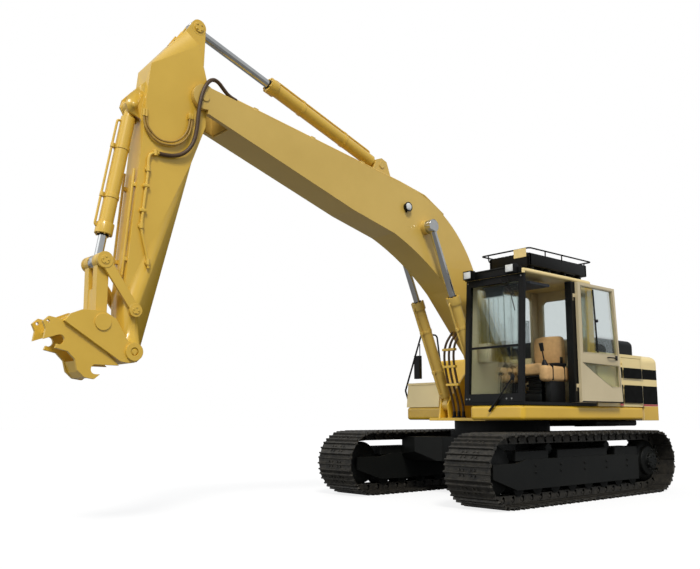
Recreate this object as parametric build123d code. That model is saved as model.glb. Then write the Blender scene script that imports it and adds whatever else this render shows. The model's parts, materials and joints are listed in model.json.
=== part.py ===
from build123d import *
import os
from math import asin, cos, hypot, pi, sin

# Crawler excavator of the 20-tonne class, in millimetres.
# Working frame: X forward, Y to the operator's left, Z up, with the swing axis at X = Y = 0 and the
# ground at Z = 0. On export everything moves by -CENTRE_X, so that the origin is the bottom centre
# of the whole machine.

# Seats and clearances
SEAT = 0.3              # gap between a piece and what carries it
PIN_FIT = 0.3           # radial gap of a pin in its bore
SIDE_FIT = 0.5          # side gap of an eye between its ears
DOOR_FIT = 6.0          # gap round a door or lid

# Undercarriage
TRACK_GAUGE = 2380
TRACK_FRONT = 2260
TRACK_REAR = -2190
SHOE_WIDTH = 700
SHOE_COUNT = 49
SHOE_PLATE = 14
GROUSER_HEIGHT = 26
GROUSER_FOOT = 0.17     # share of the shoe's pitch
GROUSER_SLOPE = 0.04    # share of the shoe's pitch
PITCH_RADIUS = 360      # link pins round the idler and the sprocket
LINK_OUT = 45           # pitch line to the shoe's inner face
LINK_IN = 55            # pitch line to the rail that the rollers run on
CHAIN_WIDTH = 200
ROLLER_RADIUS = 90
ROLLER_FLANGE = 108
ROLLER_COUNT = 8
CARRIER_RADIUS = 70
CARRIER_X = 700
BEAM_WIDTH = 330
BEAM_PLATE = 36
BEAM_BOTTOM = 270
BEAM_TOP = 560
MOTOR_PLATE_RADIUS = 195
CLEARANCE_HEIGHT = 460
CARBODY_TOP = 880
BEARING_TOP = 1030
BEARING_RADIUS = 690
BEARING_BORE = 480

# Upper structure
DECK_WIDTH = 2740
DECK_BOTTOM = 1040
DECK_TOP = 1230
DECK_FRONT = 1340
DECK_BEAM = 170
DECK_CORNER = 60
DECK_ROUND = 42
FRAME_WIDTH = 1100
FRAME_PLATE = 40
TAIL_X = -2700
TAIL_CORNER_X = -2070
WEIGHT_FRONT = -1640
WEIGHT_TOP = 2000
HOUSING_TOP = 1985
HOUSING_FRONT = -380
HOUSING_DEPTH = 600
HOUSING_WALL = 30
BAY_FRAME = 45
DOOR_PANEL = 28
BAY_KNUCKLE = 10
BAY_KNUCKLE_HEIGHT = 40
BAY_PIN = 5
BAY_HINGE_HEIGHTS = (1400, 1780)
RADIATOR_DOOR_FRONT = -1040
HOOD_FRONT = -760
HOOD_TOP = 2250
PUMP_DOOR_FRONT = HOOD_FRONT - 60
BRACKET_Y = 216
BRACKET_PLATE = 26
LONG_BEAM_TOP = BEARING_TOP + FRAME_PLATE + 130     # the long beams under the engine
TOOLBOX_X = (-60, 600)
TOOLBOX_TOP = 1570
TANK_SPLIT = -400        # between the fuel tank and the hydraulic tank behind it

# Cab
CAB_LEFT = DECK_WIDTH / 2
CAB_RIGHT = 430
CAB_REAR = -350
CAB_FRONT = 1340
CAB_LEAN = 100          # how far the front post's top stands behind its foot
CAB_FLOOR = 1270
CAB_ROOF = 2905
ROOF_RISE = 75
CAB_WALL = 45
POST_FRONT = 45
B_POST_X = 150
B_POST_WIDTH = 90
DOOR_THICK = 45
GLASS_THICK = 6

# Front linkage: pin places in the plane of the boom
BOOM_FOOT = (220, 1820)
STICK_PIVOT = (5240, 4490)
STICK_TIP = (5934, 1698)
IDLER_PIN = (5928, 2104)
LINK_PIN = (6260, 2565)
POWER_PIN = (6257, 1963)
BOOM_CYL_BASE = (800, 1260)
BOOM_CYL_EYE = (1820, 3610)
STICK_CYL_BASE = (2500, 4372)
STICK_CYL_EYE = (5270, 5330)
BUCKET_CYL_BASE = (5985, 4235)
BOOM_HALF = 210
STICK_HALF = 150
BOOM_CYL_Y = 330
EAR_PLATE = 26
WEB_PLATE = 14

# Cylinders: outside radius, rod radius, eye radius, eye half width, barrel length, piston place
CYLINDERS = {
    "boom": (78, 45, 88, 48, 1560, 1045),
    "stick": (80, 48, 88, 58, 1880, 930),
    "bucket": (72, 42, 76, 52, 1400, 260),
}
BARREL_WALL = 14
BARREL_START = 135      # base pin to the barrel's end cap, clear of the ears
GLAND_LENGTH = 110

# Reach of the whole machine, which sets the origin
NOSE_X = 6800
CENTRE_X = (TAIL_X + NOSE_X) / 2

HALF_GAUGE = TRACK_GAUGE / 2
TIP_RADIUS = PITCH_RADIUS + LINK_OUT + SHOE_PLATE + GROUSER_HEIGHT
IDLER_X = TRACK_FRONT - TIP_RADIUS
SPROCKET_X = TRACK_REAR + TIP_RADIUS
HALF_DECK = DECK_WIDTH / 2
HALF_FRAME = FRAME_WIDTH / 2

# The distance from a wheel's centre to the middle of a flat link on it
HALF_LINK_ANGLE = asin((2 * (IDLER_X - SPROCKET_X) + 2 * pi * PITCH_RADIUS) / SHOE_COUNT / 2 / PITCH_RADIUS)
WHEEL_RADIUS = PITCH_RADIUS * cos(HALF_LINK_ANGLE) - LINK_IN - SEAT


# Shaping helpers

def side_face(points):
    """A flat face in the XZ plane from its corners."""
    return make_face(Polyline(*points, close=True))


def side_slab(face, y_low, y_high):
    """A sketch in the XZ plane made into a slab from y_low to y_high."""
    return extrude(Plane.XZ.offset(-y_high) * face, amount=y_high - y_low)


def plan_slab(face, z_low, z_high):
    """A sketch in the XY plane made into a slab from z_low to z_high."""
    return extrude(Plane.XY.offset(z_low) * face, amount=z_high - z_low)


def cross_pin(place, radius, y_low, y_high):
    """A round bar along Y at a place in the XZ plane."""
    return side_slab(Pos(*place) * Circle(radius), y_low, y_high)


def upright(place, radius, z_low, z_high):
    """A round bar along Z at a place in plan."""
    return plan_slab(Pos(*place) * Circle(radius), z_low, z_high)


def block(x, y, z):
    """A box from three pairs of low and high sides."""
    size = (x[1] - x[0], y[1] - y[0], z[1] - z[0])
    middle = ((x[0] + x[1]) / 2, (y[0] + y[1]) / 2, (z[0] + z[1]) / 2)
    return Pos(*middle) * Box(*size)


def bar(start, end, radius):
    """A straight round bar between two points."""
    way = Vector(*end) - Vector(*start)
    return Plane(origin=start, z_dir=way) * Cylinder(
        radius, way.length, align=(Align.CENTER, Align.CENTER, Align.MIN)
    )


def bent_tube(points, bend, radius):
    """A tube along straight runs joined by arcs of one bend radius."""
    path = FilletPolyline(*points, radius=bend)
    return sweep(Plane(origin=path @ 0, z_dir=path % 0) * Circle(radius), path=path)


def both_sides(part):
    """A piece and its mirror image on the other side of the machine."""
    return part + mirror(part, about=Plane.XZ)


def between(start, end, share):
    """The point at a share of the way from start to end."""
    return tuple(a + (b - a) * share for a, b in zip(start, end))


# Tracks

def loop_point(travel):
    """The link pin's place after so much travel round the track's pitch line."""
    run = IDLER_X - SPROCKET_X
    turn = pi * PITCH_RADIUS
    middle = TIP_RADIUS
    travel = travel % (2 * run + 2 * turn)
    if travel < run:
        return SPROCKET_X + travel, middle - PITCH_RADIUS
    travel -= run
    if travel < turn:
        angle = travel / PITCH_RADIUS - pi / 2
        return IDLER_X + PITCH_RADIUS * cos(angle), middle + PITCH_RADIUS * sin(angle)
    travel -= turn
    if travel < run:
        return IDLER_X - travel, middle + PITCH_RADIUS
    angle = (travel - run) / PITCH_RADIUS + pi / 2
    return SPROCKET_X + PITCH_RADIUS * cos(angle), middle + PITCH_RADIUS * sin(angle)


def shoe_outline():
    """Corners of one triple-grouser shoe: share of the pitch and height above its inner face."""
    tip = SHOE_PLATE + GROUSER_HEIGHT
    corners = []
    for start in (0, (1 - GROUSER_FOOT) / 2, 1 - GROUSER_FOOT):
        corners += [(start, SHOE_PLATE), (start + GROUSER_SLOPE, tip)]
        corners += [(start + GROUSER_FOOT - GROUSER_SLOPE, tip), (start + GROUSER_FOOT, SHOE_PLATE)]
    return corners[:-1]


def track(side):
    """One track: a loop of flat links with their shoes, its chain narrower than its shoes."""
    length = 2 * (IDLER_X - SPROCKET_X) + 2 * pi * PITCH_RADIUS
    pins = [loop_point(i * length / SHOE_COUNT) for i in range(SHOE_COUNT)]
    outer = []
    inner = []
    rail = []
    for (x, z), (next_x, next_z) in zip(pins, pins[1:] + pins[:1]):
        along_x, along_z = next_x - x, next_z - z
        span = hypot(along_x, along_z)
        out_x, out_z = along_z / span, -along_x / span
        for share, height in shoe_outline():
            lift = LINK_OUT + height
            outer.append((x + share * along_x + lift * out_x, z + share * along_z + lift * out_z))
    wheel = (IDLER_X, SPROCKET_X)
    for x, z in pins:
        centre_x = min(max(x, min(wheel)), max(wheel))
        away_x, away_z = x - centre_x, z - TIP_RADIUS
        reach = hypot(away_x, away_z)
        for ring, lift in ((inner, LINK_OUT), (rail, -LINK_IN)):
            ring.append((x + away_x / reach * lift, z + away_z / reach * lift))
    middle = side * HALF_GAUGE
    shoes = side_slab(side_face(outer) - side_face(inner), middle - SHOE_WIDTH / 2, middle + SHOE_WIDTH / 2)
    chain = side_slab(side_face(inner) - side_face(rail), middle - CHAIN_WIDTH / 2, middle + CHAIN_WIDTH / 2)
    return shoes + chain


def wheel_on_side(profile, place, side):
    """A wheel turned from half a profile of radius and offset from the track's middle."""
    face = make_face(Polyline(*[(radius, offset) for offset, radius in profile], close=True))
    wheel = revolve(Plane.XY * face, axis=Axis.Y)
    return Pos(place[0], side * HALF_GAUGE, place[1]) * wheel


def idler(side):
    axle = BEAM_WIDTH / 2 - BEAM_PLATE - SEAT
    rim = CHAIN_WIDTH / 2 - 10
    profile = (
        (-axle, 0), (-axle, 60), (-rim, 80), (-rim, WHEEL_RADIUS), (rim, WHEEL_RADIUS),
        (rim, 80), (axle, 60), (axle, 0),
    )
    return wheel_on_side(profile, (IDLER_X, TIP_RADIUS), side)


def sprocket(side):
    rim = CHAIN_WIDTH / 2 - 15
    drum = 160
    inner = BEAM_WIDTH / 2 - BEAM_PLATE - SEAT
    profile = (
        (-inner, 0), (-inner, 190), (-rim, 200), (-rim, WHEEL_RADIUS), (rim, WHEEL_RADIUS),
        (rim, 215), (drum, 205), (drum, 120), (drum + 60, 110), (drum + 60, 0),
    )
    turned = [(side * offset, radius) for offset, radius in profile]
    return wheel_on_side(turned, (SPROCKET_X, TIP_RADIUS), side)


def track_roller(x, side):
    rail_top = TIP_RADIUS - PITCH_RADIUS + LINK_IN
    tread = CHAIN_WIDTH / 2
    end = BEAM_WIDTH / 2 - BEAM_PLATE - SEAT
    profile = (
        (-end, 0), (-end, 36), (-tread - 14, 36), (-tread - 14, ROLLER_FLANGE), (-tread - 2, ROLLER_FLANGE),
        (-tread - 2, ROLLER_RADIUS), (tread + 2, ROLLER_RADIUS), (tread + 2, ROLLER_FLANGE),
        (tread + 14, ROLLER_FLANGE), (tread + 14, 36), (end, 36), (end, 0),
    )
    return wheel_on_side(profile, (x, rail_top + ROLLER_RADIUS + SEAT), side)


def carrier_roller(x, side):
    rail_bottom = TIP_RADIUS + PITCH_RADIUS * 1.0 - LINK_IN
    profile = (
        (-85, 0), (-85, CARRIER_RADIUS), (85, CARRIER_RADIUS), (85, 30), (118, 30), (118, 0),
    )
    turned = [(-side * offset, radius) for offset, radius in profile]
    return wheel_on_side(turned, (x, rail_bottom - CARRIER_RADIUS - SEAT), side)


def track_frame(side):
    """The side beam: a box beam with roller rails below, a fork for the idler and a motor plate."""
    middle = side * HALF_GAUGE
    half = BEAM_WIDTH / 2
    beam_front = IDLER_X - WHEEL_RADIUS - 40
    beam_rear = SPROCKET_X + WHEEL_RADIUS + 40
    beam = side_face([
        (beam_rear, BEAM_BOTTOM + 75), (beam_front, BEAM_BOTTOM + 75), (beam_front, BEAM_TOP - 40),
        (beam_front - 200, BEAM_TOP), (beam_rear + 200, BEAM_TOP), (beam_rear, BEAM_TOP - 20),
    ])
    part = side_slab(beam, middle - half, middle + half)
    rail = side_face([
        (beam_rear, 200), (beam_front, 200), (IDLER_X + 130, 350), (IDLER_X + 130, 520),
        (beam_front, BEAM_TOP - 40), (beam_rear, BEAM_TOP - 40),
    ])
    motor_plate = rail + side_face([
        (SPROCKET_X, 250), (beam_rear + 50, 200), (beam_rear + 50, BEAM_TOP - 40), (SPROCKET_X, 640),
    ]) + Pos(SPROCKET_X, TIP_RADIUS) * Circle(MOTOR_PLATE_RADIUS)
    for low, face in ((-half, motor_plate), (half - BEAM_PLATE, rail)):
        plate_y = sorted((middle + side * low, middle + side * (low + BEAM_PLATE)))
        part += side_slab(face, *plate_y)
    for x in (-CARRIER_X, CARRIER_X):
        rail_bottom = TIP_RADIUS + PITCH_RADIUS - LINK_IN
        post_y = sorted((middle - side * (118 + SEAT), middle - side * (118 + SEAT + 40)))
        part += block((x - 45, x + 45), post_y, (BEAM_TOP - 10, rail_bottom - CARRIER_RADIUS + 40))
    return part


def carbody():
    """The middle of the undercarriage: a raised turret plate on four legs to the side beams."""
    beam_side = HALF_GAUGE - BEAM_WIDTH / 2
    quarter = [(0, 420), (380, 560), (480, beam_side), (1060, beam_side), (1130, 700), (900, 380), (900, 0)]
    plan = quarter + [(x, -y) for x, y in quarter[-2::-1]]
    plan = plan + [(-x, y) for x, y in plan[-2:0:-1]]
    legs = plan_slab(make_face(Polyline(*plan, close=True)), CLEARANCE_HEIGHT, 800)
    slope = side_slab(
        side_face([(1200, 430), (1200, 640), (900, 430)]), -beam_side, beam_side
    )
    legs -= slope
    legs -= mirror(slope, about=Plane.YZ)
    turret = Pos(0, 0, 790) * Cylinder(
        BEARING_RADIUS + 60, CARBODY_TOP - 790, align=(Align.CENTER, Align.CENTER, Align.MIN)
    )
    bore = Pos(0, 0, CARBODY_TOP - 60) * Cylinder(
        BEARING_BORE, 100, align=(Align.CENTER, Align.CENTER, Align.MIN)
    )
    return legs + turret - bore


def swing_bearing():
    low = CARBODY_TOP + SEAT
    high = BEARING_TOP - SEAT
    ring = Circle(BEARING_RADIUS) - Circle(BEARING_BORE + 20)
    return plan_slab(ring, low, high)


# Upper structure

def eye_bracket():
    """The two tall plates that carry the boom's foot, with the pins of the boom and its cylinders."""
    foot_x, foot_z = BOOM_FOOT
    base_x, base_z = BOOM_CYL_BASE
    top = BEARING_TOP + FRAME_PLATE
    plate = side_face([
        (-1500, top - 5), (-1500, LONG_BEAM_TOP), (HOOD_FRONT + 50, LONG_BEAM_TOP), (-450, 1430), (foot_x - 190, foot_z - 40), (foot_x - 130, foot_z + 120),
        (foot_x + 60, foot_z + 175), (foot_x + 190, foot_z + 20), (base_x + 60, base_z + 110),
        (base_x + 130, base_z), (base_x + 110, top - 5),
    ])
    ear = side_face([
        (base_x - 190, top - 5), (base_x - 90, base_z + 80), (base_x, base_z + 110),
        (base_x + 90, base_z + 80), (base_x + 130, top - 5),
    ])
    ear_y = BOOM_CYL_Y + CYLINDERS["boom"][3] + SIDE_FIT
    part = side_slab(plate, BRACKET_Y, BRACKET_Y + BRACKET_PLATE)
    part += side_slab(ear, ear_y, ear_y + EAR_PLATE)
    eye_low = BOOM_CYL_Y - CYLINDERS["boom"][3] - SIDE_FIT
    part += cross_pin(BOOM_CYL_BASE, 72, BRACKET_Y + 5, eye_low)
    part += cross_pin(BOOM_CYL_BASE, 45, eye_low - 5, ear_y + EAR_PLATE + 8)
    part = both_sides(part)
    return part + cross_pin(BOOM_FOOT, 52, -BRACKET_Y - BRACKET_PLATE - 6, BRACKET_Y + BRACKET_PLATE + 6)


def main_frame():
    top = BEARING_TOP + FRAME_PLATE
    plan = make_face(Polyline(
        (WEIGHT_FRONT + 20, -HALF_FRAME + 40), (1010, -HALF_FRAME + 40),
        (1010, HALF_FRAME - 40), (WEIGHT_FRONT + 20, HALF_FRAME - 40), close=True,
    ))
    return plan_slab(plan, BEARING_TOP, top) + eye_bracket()


def deck_side(side, front):
    """One side deck: a tray with a round-shouldered beam along its outer edge and front."""
    inner = HALF_FRAME - 40 + SEAT
    face = Pos((WEIGHT_FRONT + front) / 2, (inner + HALF_DECK) / 2) * RectangleRounded(
        front - WEIGHT_FRONT, HALF_DECK - inner, DECK_CORNER
    )
    deck = plan_slab(face, DECK_BOTTOM, DECK_TOP)
    rims = deck.edges().group_by(Axis.Z)
    deck = fillet(rims[0] + rims[-1], DECK_ROUND)
    pocket = block(
        (WEIGHT_FRONT + 40, front - DECK_BEAM), (inner - 10, HALF_DECK - DECK_BEAM), (DECK_BOTTOM + 40, DECK_TOP + 10)
    )
    deck -= pocket
    return deck if side > 0 else mirror(deck, about=Plane.XZ)


def counterweight():
    corner = (TAIL_CORNER_X, HALF_DECK)
    outline = Polyline((TAIL_CORNER_X, -HALF_DECK), (WEIGHT_FRONT - SEAT, -HALF_DECK),
                       (WEIGHT_FRONT - SEAT, HALF_DECK), corner)
    tail = ThreePointArc(corner, (TAIL_X, 0), (TAIL_CORNER_X, -HALF_DECK))
    body = plan_slab(make_face(outline + tail), BEARING_TOP, WEIGHT_TOP)
    crown = [e for e in body.edges().group_by(Axis.Z)[-1] if (e @ 0.5).X < WEIGHT_FRONT - 10]
    return fillet(crown, 110)


def engine():
    return block((WEIGHT_FRONT + 60, HOOD_FRONT - 60), (-500, 500), (LONG_BEAM_TOP + SEAT, 1850))


def housing():
    """The bay round the engine: cross wall, side bays open outwards for their doors, and top plates."""
    low = DECK_TOP + SEAT
    rear = WEIGHT_FRONT + SEAT
    inner = HALF_DECK - HOUSING_DEPTH
    sides = []
    for front, door_front in ((HOUSING_FRONT, RADIATOR_DOOR_FRONT), (HOOD_FRONT, PUMP_DOOR_FRONT)):
        bay = block((rear, front), (inner, HALF_DECK), (low, HOUSING_TOP))
        bay -= block(
            (rear + BAY_FRAME, door_front), (inner + HOUSING_WALL, HALF_DECK + 10),
            (low + BAY_FRAME, HOUSING_TOP - BAY_FRAME),
        )
        for z in BAY_HINGE_HEIGHTS:
            place = (door_front - DOOR_FIT / 2, HALF_DECK + BAY_KNUCKLE + 2)
            bay += upright(place, BAY_KNUCKLE, z, z + BAY_KNUCKLE_HEIGHT)
            bay += block((place[0], place[0] + 35), (HALF_DECK - 2, place[1]), (z, z + BAY_KNUCKLE_HEIGHT))
            bay += upright(place, BAY_PIN, z, z + 2 * BAY_KNUCKLE_HEIGHT)
        sides.append(bay)
    wall = block((HOOD_FRONT, HOOD_FRONT + 40), (-inner, inner), (LONG_BEAM_TOP + SEAT, HOUSING_TOP))
    return sides[0] + mirror(sides[1], about=Plane.XZ) + wall


def hood():
    """The engine hood: a round-edged lid over the bay."""
    half = HALF_DECK - HOUSING_DEPTH + 330
    body = block((WEIGHT_FRONT - 300, HOOD_FRONT - 20), (-half, half), (WEIGHT_TOP + SEAT, HOOD_TOP))
    body = fillet(body.edges().group_by(Axis.Z)[-1] + body.edges().filter_by(Axis.Z), 90)
    inside = block((WEIGHT_FRONT - 270, HOOD_FRONT - 50), (-half + 30, half - 30), (WEIGHT_TOP - 10, HOOD_TOP - 30))
    return body - inside


def side_door(side, front):
    """A flat bay door, inside its frame and flush with the bay's side."""
    low = DECK_TOP + SEAT + BAY_FRAME + DOOR_FIT
    rear = WEIGHT_FRONT + SEAT + BAY_FRAME + DOOR_FIT
    panel = block(
        (rear, front - DOOR_FIT), (HALF_DECK - DOOR_PANEL, HALF_DECK), (low, HOUSING_TOP - BAY_FRAME - DOOR_FIT)
    )
    for z in BAY_HINGE_HEIGHTS:
        place = (front - DOOR_FIT / 2, HALF_DECK + BAY_KNUCKLE + 2)
        knuckle_low = z + BAY_KNUCKLE_HEIGHT + SEAT
        knuckle_high = z + 2 * BAY_KNUCKLE_HEIGHT
        panel += upright(place, BAY_KNUCKLE, knuckle_low, knuckle_high)
        panel += block((place[0] - 40, place[0]), (HALF_DECK - 2, place[1]), (knuckle_low, knuckle_high))
        panel -= upright(place, BAY_PIN + PIN_FIT, knuckle_low - 5, knuckle_high + 5)
    return panel if side > 0 else mirror(panel, about=Plane.XZ)


def tanks():
    """The fuel tank and, behind it, the hydraulic tank, on the right deck."""
    low = DECK_TOP + SEAT
    fuel = block((TANK_SPLIT, TOOLBOX_X[0] - 15), (-HALF_DECK, -620), (low, HOUSING_TOP))
    hydraulic = block((HOOD_FRONT + 45, TANK_SPLIT - 5), (-HALF_DECK, -620), (low, HOUSING_TOP))
    fuel = fillet(fuel.edges().filter_by(Axis.Z) + fuel.edges().group_by(Axis.Z)[-1], 40)
    hydraulic = fillet(hydraulic.edges().filter_by(Axis.Z) + hydraulic.edges().group_by(Axis.Z)[-1], 40)
    return fuel + hydraulic


def toolbox():
    x_low, x_high = TOOLBOX_X
    low = DECK_TOP + SEAT
    shape = side_face([(x_low, low), (x_high, low), (x_high - 40, TOOLBOX_TOP), (x_low, TOOLBOX_TOP)])
    body = side_slab(shape, -HALF_DECK, -700)
    return body - block((x_low + 25, x_high - 70), (-HALF_DECK + 25, -725), (low + 25, TOOLBOX_TOP + 10))


def toolbox_lid():
    x_low, x_high = TOOLBOX_X
    lid = block((x_low + 2, x_high - 30), (-HALF_DECK, -700), (TOOLBOX_TOP + SEAT, TOOLBOX_TOP + 35))
    return fillet(lid.edges().group_by(Axis.Z)[-1], 15)


# Cab

def post_x(z):
    """The front face of the front post at a height."""
    return CAB_FRONT - CAB_LEAN * (z - CAB_FLOOR) / (CAB_ROOF - CAB_FLOOR)


def cab_floor():
    low = DECK_TOP + SEAT
    return block((CAB_REAR, CAB_FRONT - 5), (CAB_RIGHT, CAB_LEFT), (low, CAB_FLOOR - SEAT))


DOOR_LOW = CAB_FLOOR + DOOR_FIT
DOOR_HIGH = CAB_ROOF - DOOR_FIT
HINGE = (B_POST_X + B_POST_WIDTH - 32, CAB_LEFT + 30)
HINGE_PIN_RADIUS = 8
KNUCKLE_RADIUS = 17
KNUCKLE_HEIGHT = 50
HINGE_HEIGHTS = (1420, 2640)


def cab_left_wall():
    """The door post, with the door's two hinge pins, and the quarter panel behind it with its window."""
    top = CAB_ROOF - SEAT
    wall = block((CAB_REAR, B_POST_X + B_POST_WIDTH), (CAB_LEFT - CAB_WALL, CAB_LEFT), (CAB_FLOOR, top))
    window = Pos((CAB_REAR + B_POST_X) / 2, 2350) * RectangleRounded(350, 850, 50)
    wall -= side_slab(window, CAB_LEFT - CAB_WALL - 5, CAB_LEFT + 5)
    hinge_x, hinge_y = HINGE
    for z in HINGE_HEIGHTS:
        wall += block((hinge_x - 12, hinge_x + 12), (CAB_LEFT - 5, hinge_y), (z, z + KNUCKLE_HEIGHT))
        wall += upright(HINGE, KNUCKLE_RADIUS, z, z + KNUCKLE_HEIGHT)
        wall += upright(HINGE, HINGE_PIN_RADIUS, z, z + 2 * KNUCKLE_HEIGHT)
    return wall


RIGHT_WINDOW = (440, 2330, 1250, 980, 60)     # middle x, middle z, width, height, corner radius
REAR_WINDOW = (900, 2380, 660, 760, 60)       # middle y, middle z, width, height, corner radius


def cab_right_wall():
    top = CAB_ROOF - SEAT
    low_front = post_x(CAB_FLOOR) - POST_FRONT - SEAT
    high_front = post_x(top) - POST_FRONT - SEAT
    outline = side_face([(CAB_REAR, CAB_FLOOR), (low_front, CAB_FLOOR), (high_front, top), (CAB_REAR, top)])
    x, z, width, height, corner = RIGHT_WINDOW
    wall = side_slab(outline, CAB_RIGHT, CAB_RIGHT + CAB_WALL)
    return wall - side_slab(Pos(x, z) * RectangleRounded(width, height, corner), CAB_RIGHT - 5, CAB_RIGHT + CAB_WALL + 5)


def cab_rear_wall():
    top = CAB_ROOF - SEAT
    y_low = CAB_RIGHT + CAB_WALL + SEAT
    y_high = CAB_LEFT - CAB_WALL - SEAT
    wall = block((CAB_REAR, CAB_REAR + CAB_WALL), (y_low, y_high), (CAB_FLOOR, top))
    y, z, width, height, corner = REAR_WINDOW
    hole = extrude(Plane.YZ.offset(CAB_REAR - 5) * Pos(y, z) * RectangleRounded(width, height, corner), amount=CAB_WALL + 10)
    return wall - hole


def cab_front_frame():
    """The front frame: two posts, a sill panel and a header, leaning back with the windscreen."""
    top = CAB_ROOF - SEAT
    outline = side_face([
        (post_x(CAB_FLOOR) - POST_FRONT, CAB_FLOOR), (post_x(CAB_FLOOR), CAB_FLOOR),
        (post_x(top), top), (post_x(top) - POST_FRONT, top),
    ])
    frame = side_slab(outline, CAB_RIGHT, CAB_LEFT)
    hole = block((CAB_FRONT - 400, CAB_FRONT + 50), (CAB_RIGHT + 80, CAB_LEFT - 80), (CAB_FLOOR + 105, top - 90))
    return frame - hole


def cab_roof():
    low = CAB_ROOF
    roof = block((CAB_REAR - 10, post_x(CAB_ROOF) + 30), (CAB_RIGHT, CAB_LEFT), (low, low + ROOF_RISE))
    roof = fillet(roof.edges().filter_by(Axis.Z), 60)
    return fillet(roof.edges().group_by(Axis.Z)[-1], 35)


def cab_glass():
    """The fixed panes: windscreen, right window, rear window and quarter window."""
    top = CAB_ROOF - SEAT - 90
    bottom = CAB_FLOOR + 105
    pane = side_face([
        (post_x(bottom) - 25, bottom + SEAT), (post_x(bottom) - 25 + GLASS_THICK, bottom + SEAT),
        (post_x(top) - 25 + GLASS_THICK, top - SEAT), (post_x(top) - 25, top - SEAT),
    ])
    panes = side_slab(pane, CAB_RIGHT + 80 + SEAT, CAB_LEFT - 80 - SEAT)
    x, z, width, height, corner = RIGHT_WINDOW
    shape = Pos(x, z) * RectangleRounded(width - 2 * SEAT, height - 2 * SEAT, corner - SEAT)
    panes += side_slab(shape, CAB_RIGHT + 20, CAB_RIGHT + 20 + GLASS_THICK)
    y, z, width, height, corner = REAR_WINDOW
    shape = Pos(y, z) * RectangleRounded(width - 2 * SEAT, height - 2 * SEAT, corner - SEAT)
    panes += extrude(Plane.YZ.offset(CAB_REAR + 20) * shape, amount=GLASS_THICK)
    quarter = Pos((CAB_REAR + B_POST_X) / 2, 2350) * RectangleRounded(350 - 2 * SEAT, 850 - 2 * SEAT, 50 - SEAT)
    return panes + side_slab(quarter, CAB_LEFT - 25, CAB_LEFT - 25 + GLASS_THICK)


SEAT_Y = 880


def seat():
    base = block((120, 480), (SEAT_Y - 170, SEAT_Y + 170), (CAB_FLOOR, 1560))
    cushion = block((60, 560), (SEAT_Y - 245, SEAT_Y + 245), (1560, 1690))
    back = side_slab(side_face([(60, 1690), (180, 1690), (40, 2280), (-60, 2280)]), SEAT_Y - 230, SEAT_Y + 230)
    return base + cushion + back


def consoles():
    """The two arm consoles with their levers, and the travel levers on the floor."""
    part = None
    for offset in (-330, 330):
        y = SEAT_Y + offset
        box = block((130, 640), (y - 70, y + 70), (CAB_FLOOR, 1830))
        box += bar((560, y, 1820), (600, y, 2010), 22)
        part = box if part is None else part + box
    for offset in (-60, 60):
        part += bar((1010, SEAT_Y + offset, CAB_FLOOR + 1.2), (960, SEAT_Y + offset, 1700), 12)
    return part


def opened(x):
    """Where a point of the shut door at x stands when the door is folded back."""
    return 2 * HINGE[0] - x


def cab_door():
    """The cab door, folded back flat against the cab's side."""
    near = opened(B_POST_X + B_POST_WIDTH + 7)
    far_low = opened(post_x(DOOR_LOW) - POST_FRONT - DOOR_FIT)
    far_high = opened(post_x(DOOR_HIGH) - POST_FRONT - DOOR_FIT)
    face = side_face([(near, DOOR_LOW), (near, DOOR_HIGH), (far_high, DOOR_HIGH), (far_low, DOOR_LOW)])
    upper = side_face([(near - 80, 1950), (near - 80, 2850), (far_high + 75, 2850), (far_low + 90, 1950)])
    lower = side_face([(near - 60, 1805), (far_low + 85, 1790), (far_low + 60, 1500), (far_low + 280, 1495),
                       (near - 330, 1680)])
    y_low = 2 * HINGE[1] - CAB_LEFT - 5
    door = side_slab(face - upper - lower, y_low, y_low + DOOR_THICK)
    hinge_x, hinge_y = HINGE
    for z in HINGE_HEIGHTS:
        low = z + KNUCKLE_HEIGHT + SEAT
        high = z + 2 * KNUCKLE_HEIGHT
        door += upright(HINGE, KNUCKLE_RADIUS, low, high)
        door += block((hinge_x - 70, hinge_x), (hinge_y - 8, hinge_y + 17), (low, high))
        door += block((hinge_x - 70, near), (hinge_y + 10, y_low + 5), (low, high))
        door -= upright(HINGE, HINGE_PIN_RADIUS + PIN_FIT, low - 10, high + 10)
    return door


def cab_door_glass():
    near = opened(B_POST_X + B_POST_WIDTH + 7)
    far_low = opened(post_x(DOOR_LOW) - POST_FRONT - DOOR_FIT)
    far_high = opened(post_x(DOOR_HIGH) - POST_FRONT - DOOR_FIT)
    upper = side_face([(near - 80, 1950), (near - 80, 2850), (far_high + 75, 2850), (far_low + 90, 1950)])
    lower = side_face([(near - 60, 1805), (far_low + 85, 1790), (far_low + 60, 1500), (far_low + 280, 1495),
                       (near - 330, 1680)])
    y_low = 2 * HINGE[1] - CAB_LEFT - 5 + 20
    panes = side_slab(offset(upper, -SEAT), y_low, y_low + GLASS_THICK)
    return panes + side_slab(offset(lower, -SEAT), y_low, y_low + GLASS_THICK)


def roof_guard():
    """The rack on the roof: a dark tray on four feet with a rail round it."""
    roof = CAB_ROOF + ROOF_RISE
    tray = block((-560, 1180), (520, 1290), (3080, 3190))
    for x in (-250, 1000):
        for y in (600, 1200):
            tray += block((x - 25, x + 25), (y - 25, y + 25), (roof + SEAT, 3090))
    ring = Pos(400, 905) * (RectangleRounded(2000, 860, 120) - RectangleRounded(1950, 810, 95))
    tray += plan_slab(ring, 3290, 3315)
    for x in (-300, 400, 1000):
        for y in (487, 1323):
            tray += block((x - 10, x + 10), (y - 11, y + 11), (3130, 3300))
            tray += block((x - 10, x + 10), (min(y, 1270), max(y, 540)), (3130, 3150))
    return tray


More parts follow.
